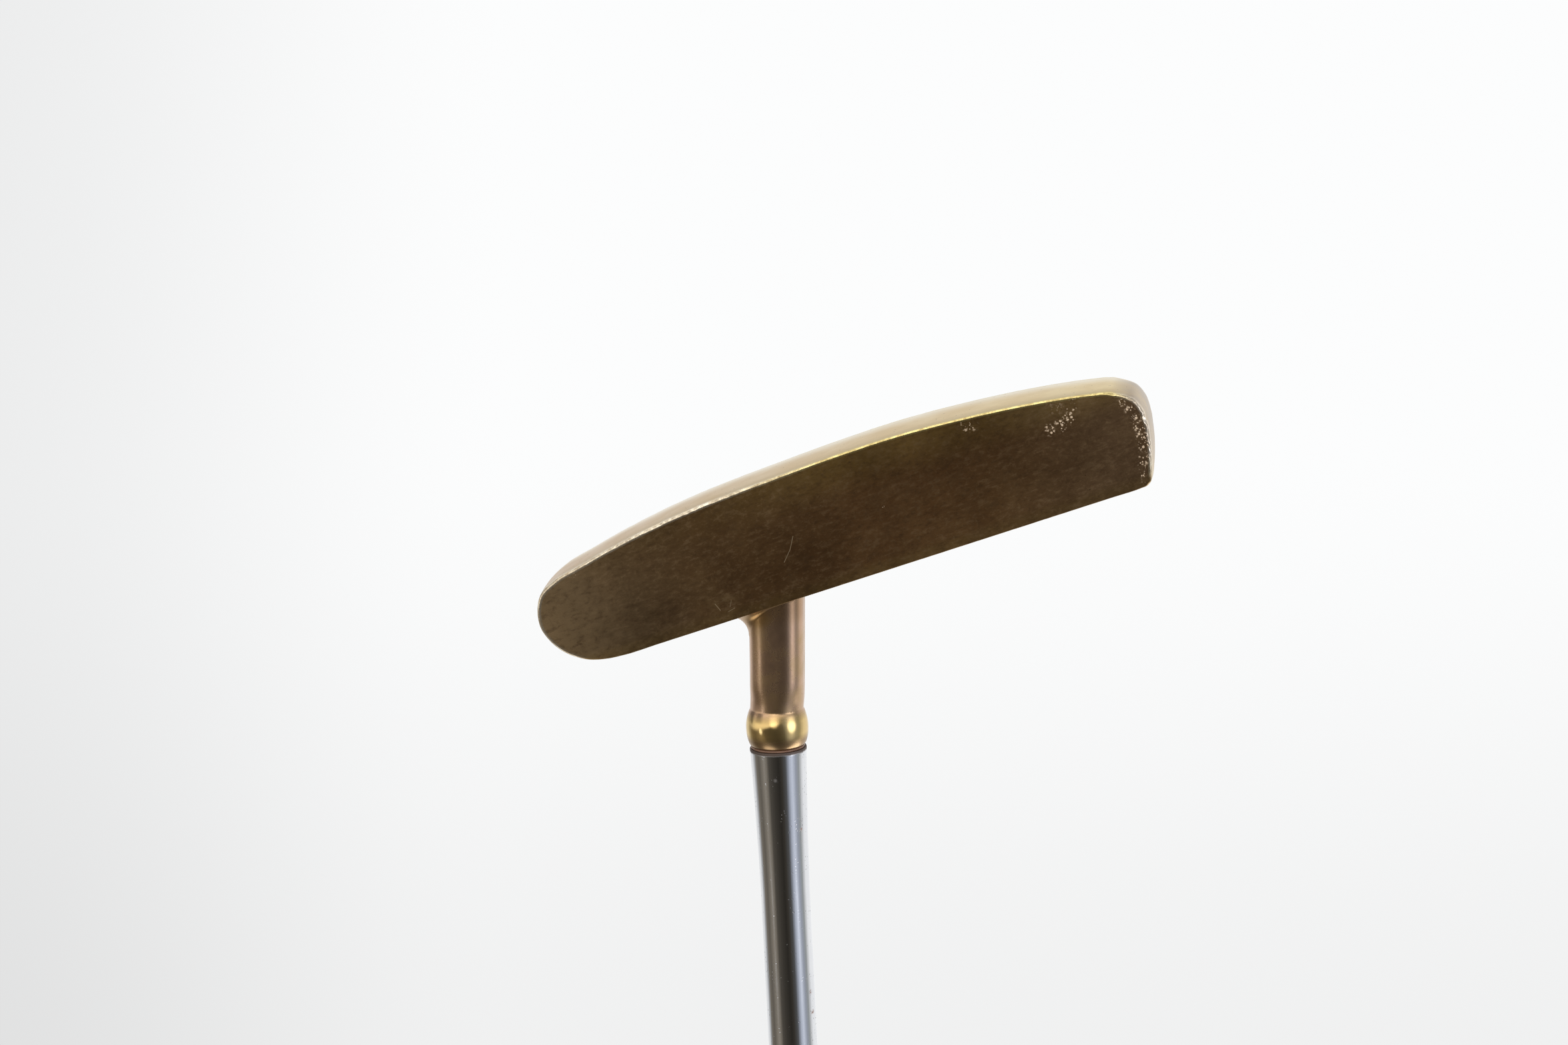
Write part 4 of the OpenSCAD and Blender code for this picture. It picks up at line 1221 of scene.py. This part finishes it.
# --- cloth tape
tape, nt, bs = material("cloth_tape")
g = N(nt)
co_ = g.obj()
wva = g.new("ShaderNodeTexWave", wave_type="BANDS", bands_direction="Z")
g.put(wva.inputs["Vector"], co_)
wva.inputs["Scale"].default_value = 900.0
wvb = g.new("ShaderNodeTexWave", wave_type="BANDS", bands_direction="Y")
g.put(wvb.inputs["Vector"], co_)
wvb.inputs["Scale"].default_value = 900.0
wx = g.m("MULTIPLY", wva.outputs["Fac"], wvb.outputs["Fac"])
g.put(bs.inputs["Base Color"], g.mix(wx, (0.55, 0.48, 0.34, 1), (0.78, 0.72, 0.58, 1)))
bs.inputs["Roughness"].default_value = 0.85
g.put(bs.inputs["Normal"], g.bump(wx, 0.4, 0.0001))

# --- underlisting
under, nt, bs = material("underlisting_rubber")
g = N(nt)
co_ = g.obj()
un = g.noise(co_, 300.0, 4.0, 0.6)
g.put(bs.inputs["Base Color"], g.mix(un, (0.05, 0.042, 0.036, 1), (0.11, 0.095, 0.082, 1)))
g.put(bs.inputs["Roughness"], g.ramp(un, 0.3, 0.7, 0.7, 0.9))
g.put(bs.inputs["Normal"], g.bump(un, 0.4, 0.0002))


def node_object(name):
    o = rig.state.nodes[name]
    return o


for nm, mt in (("butt_plug", wood), ("grip_tape", tape), ("grip_underlisting", under)):
    o = node_object(nm)
    for s_ in o.material_slots:
        s_.link = "OBJECT"
        s_.material = mt
    if not o.material_slots:
        o.data.materials.append(mt)

# ---------------------------------------------------------------- ride, replace, slot
for piece, node, slot in (
    (putter_head, "blade_head", "head_brass"),
    (shaft_piece, "shaft_tube", "shaft_chrome"),
    (glue_piece, "tip_adhesive", "adhesive"),
    (leather, "leather_wrap", "grip_leather"),
    (thread, "grip_whipping", "whipping_thread"),
    (boot_piece, "lower_collar", "collar_rubber"),
    (cap, "grip_cap", "cap_plastic"),
    (screw, "cap_screw", "screw_brass"),
):
    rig.ride(piece, "root")
    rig.replaces(piece, node)
    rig.slot(piece, slot)

# ---------------------------------------------------------------- camera
cam_d = bpy.data.cameras.new("camera")
cam = bpy.data.objects.new("camera", cam_d)
bpy.context.scene.collection.objects.link(cam)
cam_d.sensor_width = 36.0
cam_d.lens = 6600.0 / 2353.0 * 36.0
cam_d.clip_start, cam_d.clip_end = 0.01, 50.0
right = Vector((-0.9215253, 0.1231456, 0.3682504)).normalized()
upv = Vector((-0.3368318, 0.2182959, -0.9159006)).normalized()
backv = right.cross(upv).normalized()
upv = backv.cross(right)
mw = Matrix((right, upv, backv)).transposed().to_4x4()
mw.translation = Vector((-0.1488936, -0.7619872, -0.1160447))
cam.matrix_world = mw
bpy.context.scene.camera = cam

# ---------------------------------------------------------------- world: white backdrop for the eye, studio for the metal
sc_ = bpy.context.scene
sc_.view_settings.view_transform = "Standard"
sc_.view_settings.look = "None"
world = bpy.data.worlds.new("studio")
sc_.world = world
world.use_nodes = True
nt = world.node_tree
nt.nodes.clear()
g = N(nt)
d = g.vm("NORMALIZE", g.new("ShaderNodeTexCoord").outputs["Generated"])
wo = nt.nodes.new("ShaderNodeOutputWorld")


def lobe(direction, inner, outer, colour, strength):
    """A soft-edged bright patch of the surroundings round a direction, half-angles in degrees."""
    v_ = Vector(direction).normalized()
    dt = g.vm("DOT_PRODUCT", d, tuple(v_), out="Value")
    f = g.ramp(dt, math.cos(rad(outer)), math.cos(rad(inner)))
    return g.mix(g.m("MULTIPLY", f, 1.0), (0, 0, 0, 1), tuple(c_ * strength for c_ in colour) + (1,))


sepd = g.new("ShaderNodeSeparateXYZ")
g.put(sepd.inputs[0], d)
azim = g.m("ARCTAN2", g.m("MULTIPLY", sepd.outputs[0], -1.0), g.m("MULTIPLY", sepd.outputs[1], -1.0))  # 0 at -Y, positive towards -X
azim = g.m("ADD", g.m("DIVIDE", azim, 2 * math.pi), 0.5, clamp=True)
band = g.new("ShaderNodeValToRGB")
cr = band.color_ramp
cr.interpolation = "LINEAR"
warm, blue, white, grey = (1.0, 0.87, 0.70), (0.82, 0.87, 1.0), (1.0, 1.0, 1.0), (0.96, 1.0, 0.98)
stops = [(-180, 1.0, white), (-126, 0.84, white), (-112, 0.42, white), (-101, 0.20, warm), (-84, 0.14, warm), (-62, 0.27, warm), (-51, 0.22, warm), (-41, 0.085, warm),
         (-23, 0.05, warm), (-2, 0.028, warm), (10, 0.045, warm), (27, 0.09, white), (36, 0.34, blue), (46, 0.64, blue), (56, 0.74, blue), (67, 0.62, blue),
         (78, 0.44, blue), (98, 0.36, grey), (111, 0.66, white), (128, 0.98, white), (180, 1.0, white)]
while len(cr.elements) < len(stops):
    cr.elements.new(0.5)
for el, (a_, v_, c_) in zip(cr.elements, stops):
    el.position = (a_ + 180) / 360
for el, (a_, v_, c_) in zip(cr.elements, stops):
    el.color = (*(v_ * k for k in c_), 1)
g.put(band.inputs[0], azim)
front = g.ramp(sepd.outputs[1], -0.35, 0.35, 1.0, 0.0)
ceil_c = g.mix(front, (0.62, 0.61, 0.60, 1), (1.20, 1.13, 1.02, 1))
ceil_c = g.mix(g.ramp(sepd.outputs[2], -0.85, -0.45, 0.0, 1.0), (1.5, 1.45, 1.35, 1), ceil_c)
total = g.mix(g.ramp(sepd.outputs[2], -0.27, -0.11, 1.0, 0.0), band.outputs[0], ceil_c)
side_a = g.m("ABSOLUTE", g.m("SUBTRACT", azim, 0.5))
dark_bars = g.m("MULTIPLY", g.m("MULTIPLY", g.ramp(side_a, 0.262, 0.285), g.ramp(side_a, 0.345, 0.385, 1.0, 0.0)), g.ramp(sepd.outputs[2], -0.40, -0.25, 1.0, 0.0))
high_bars = g.m("MULTIPLY", g.m("MULTIPLY", g.ramp(side_a, 0.125, 0.150), g.ramp(side_a, 0.215, 0.245, 1.0, 0.0)), g.m("MULTIPLY", g.ramp(sepd.outputs[2], -0.52, -0.42, 1.0, 0.0), g.ramp(sepd.outputs[2], -0.95, -0.86)))
total = g.mix(g.m("MULTIPLY", g.m("MAXIMUM", dark_bars, high_bars), 0.9), total, (0.10, 0.10, 0.105, 1))
total = g.mix(g.ramp(sepd.outputs[2], 0.66, 0.88), total, g.mix(front, (0.5, 0.5, 0.5, 1), (0.13, 0.12, 0.11, 1)))


def toward(a_, e_):
    """Direction at azimuth a_ from -Y towards -X and elevation e_ towards -Z, degrees."""
    return (-math.sin(rad(a_)) * math.cos(rad(e_)), -math.cos(rad(a_)) * math.cos(rad(e_)), -math.sin(rad(e_)))


for p_ in (
    lobe(toward(62, -15), 9, 21, (0.97, 0.97, 1.0), 2.2),
    lobe(toward(-57, 6), 3.0, 8.0, (0.92, 0.95, 1.0), 1.5),
    lobe(toward(2, 19), 7, 20, (1.0, 0.94, 0.84), 1.5),
):
    total = g.mix(1.0, total, p_, "ADD")
bg_light = g.new("ShaderNodeBackground")
g.put(bg_light.inputs["Color"], total)
bg_eye = g.new("ShaderNodeBackground")
shade_l = g.ramp(g.vm("DOT_PRODUCT", d, tuple(right), out="Value"), -0.19, -0.06, 1.0, 0.0)
shade_d = g.ramp(g.vm("DOT_PRODUCT", d, tuple(upv), out="Value"), -0.13, 0.02, 1.0, 0.0)
eye_c = g.mix(g.m("MULTIPLY", shade_l, 0.14), (0.975, 0.98, 0.982, 1), (0.0, 0.0, 0.0, 1))
eye_c = g.mix(g.m("MULTIPLY", shade_d, 0.11), eye_c, (0.02, 0.01, 0.0, 1))
g.put(bg_eye.inputs["Color"], eye_c)
lp = g.new("ShaderNodeLightPath")
mixs = g.new("ShaderNodeMixShader")
g.put(mixs.inputs[0], lp.outputs["Is Camera Ray"])
nt.links.new(bg_light.outputs[0], mixs.inputs[1])
nt.links.new(bg_eye.outputs[0], mixs.inputs[2])
nt.links.new(mixs.outputs[0], wo.inputs[0])

# ---------------------------------------------------------------- pale floor, seen only from above
fl_me = bpy.data.meshes.new("floor")
fr = 40.0
fl_me.from_pydata([(-fr, -fr, -0.0003), (fr, -fr, -0.0003), (fr, fr, -0.0003), (-fr, fr, -0.0003)], [], [(0, 1, 2, 3)])
floor = bpy.data.objects.new("floor", fl_me)
sc_.collection.objects.link(floor)
fm = bpy.data.materials.new("floor_paint")
fm.use_nodes = True
nt = fm.node_tree
nt.nodes.clear()
g = N(nt)
o_ = nt.nodes.new("ShaderNodeOutputMaterial")
dif = g.new("ShaderNodeBsdfDiffuse")
fl_c = g.noise(g.obj(), 3.0, 3.0)
g.put(dif.inputs["Color"], g.mix(fl_c, (0.80, 0.80, 0.80, 1), (0.83, 0.83, 0.83, 1)))
tr = g.new("ShaderNodeBsdfTransparent")
geo = g.new("ShaderNodeNewGeometry")
far = g.ramp(g.vm("LENGTH", g.obj(), out="Value"), 0.6, 9.0)
ms = g.new("ShaderNodeMixShader")
g.put(ms.inputs[0], g.m("MAXIMUM", geo.outputs["Backfacing"], far))
nt.links.new(dif.outputs[0], ms.inputs[1])
nt.links.new(tr.outputs[0], ms.inputs[2])
nt.links.new(ms.outputs[0], o_.inputs[0])
fl_me.materials.append(fm)
floor.visible_shadow = False
floor.visible_diffuse = False
floor.visible_glossy = False
floor.visible_transmission = False
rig.stage(floor)


def area(name, loc, target, size, power, colour=(1, 1, 1)):
    l_ = bpy.data.lights.new(name, "AREA")
    l_.shape, l_.size, l_.energy, l_.color = "DISK", size, power, colour
    o = bpy.data.objects.new(name, l_)
    sc_.collection.objects.link(o)
    o.location = loc
    o.rotation_euler = (Vector(target) - Vector(loc)).to_track_quat("-Z", "Y").to_euler()
    return o


area("key", (-0.7, 0.5, 2.6), (0.1, 0, 0.2), 1.9, 34)
area("fill", (1.7, -0.9, 2.0), (0.1, 0, 0.4), 1.6, 13, (1.0, 0.98, 0.95))

lo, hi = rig.bounds()
with open("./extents.json", "w") as f:
    json.dump({"cad": [list(cad_lo), list(cad_hi)], "visual": [list(lo), list(hi)]}, f)
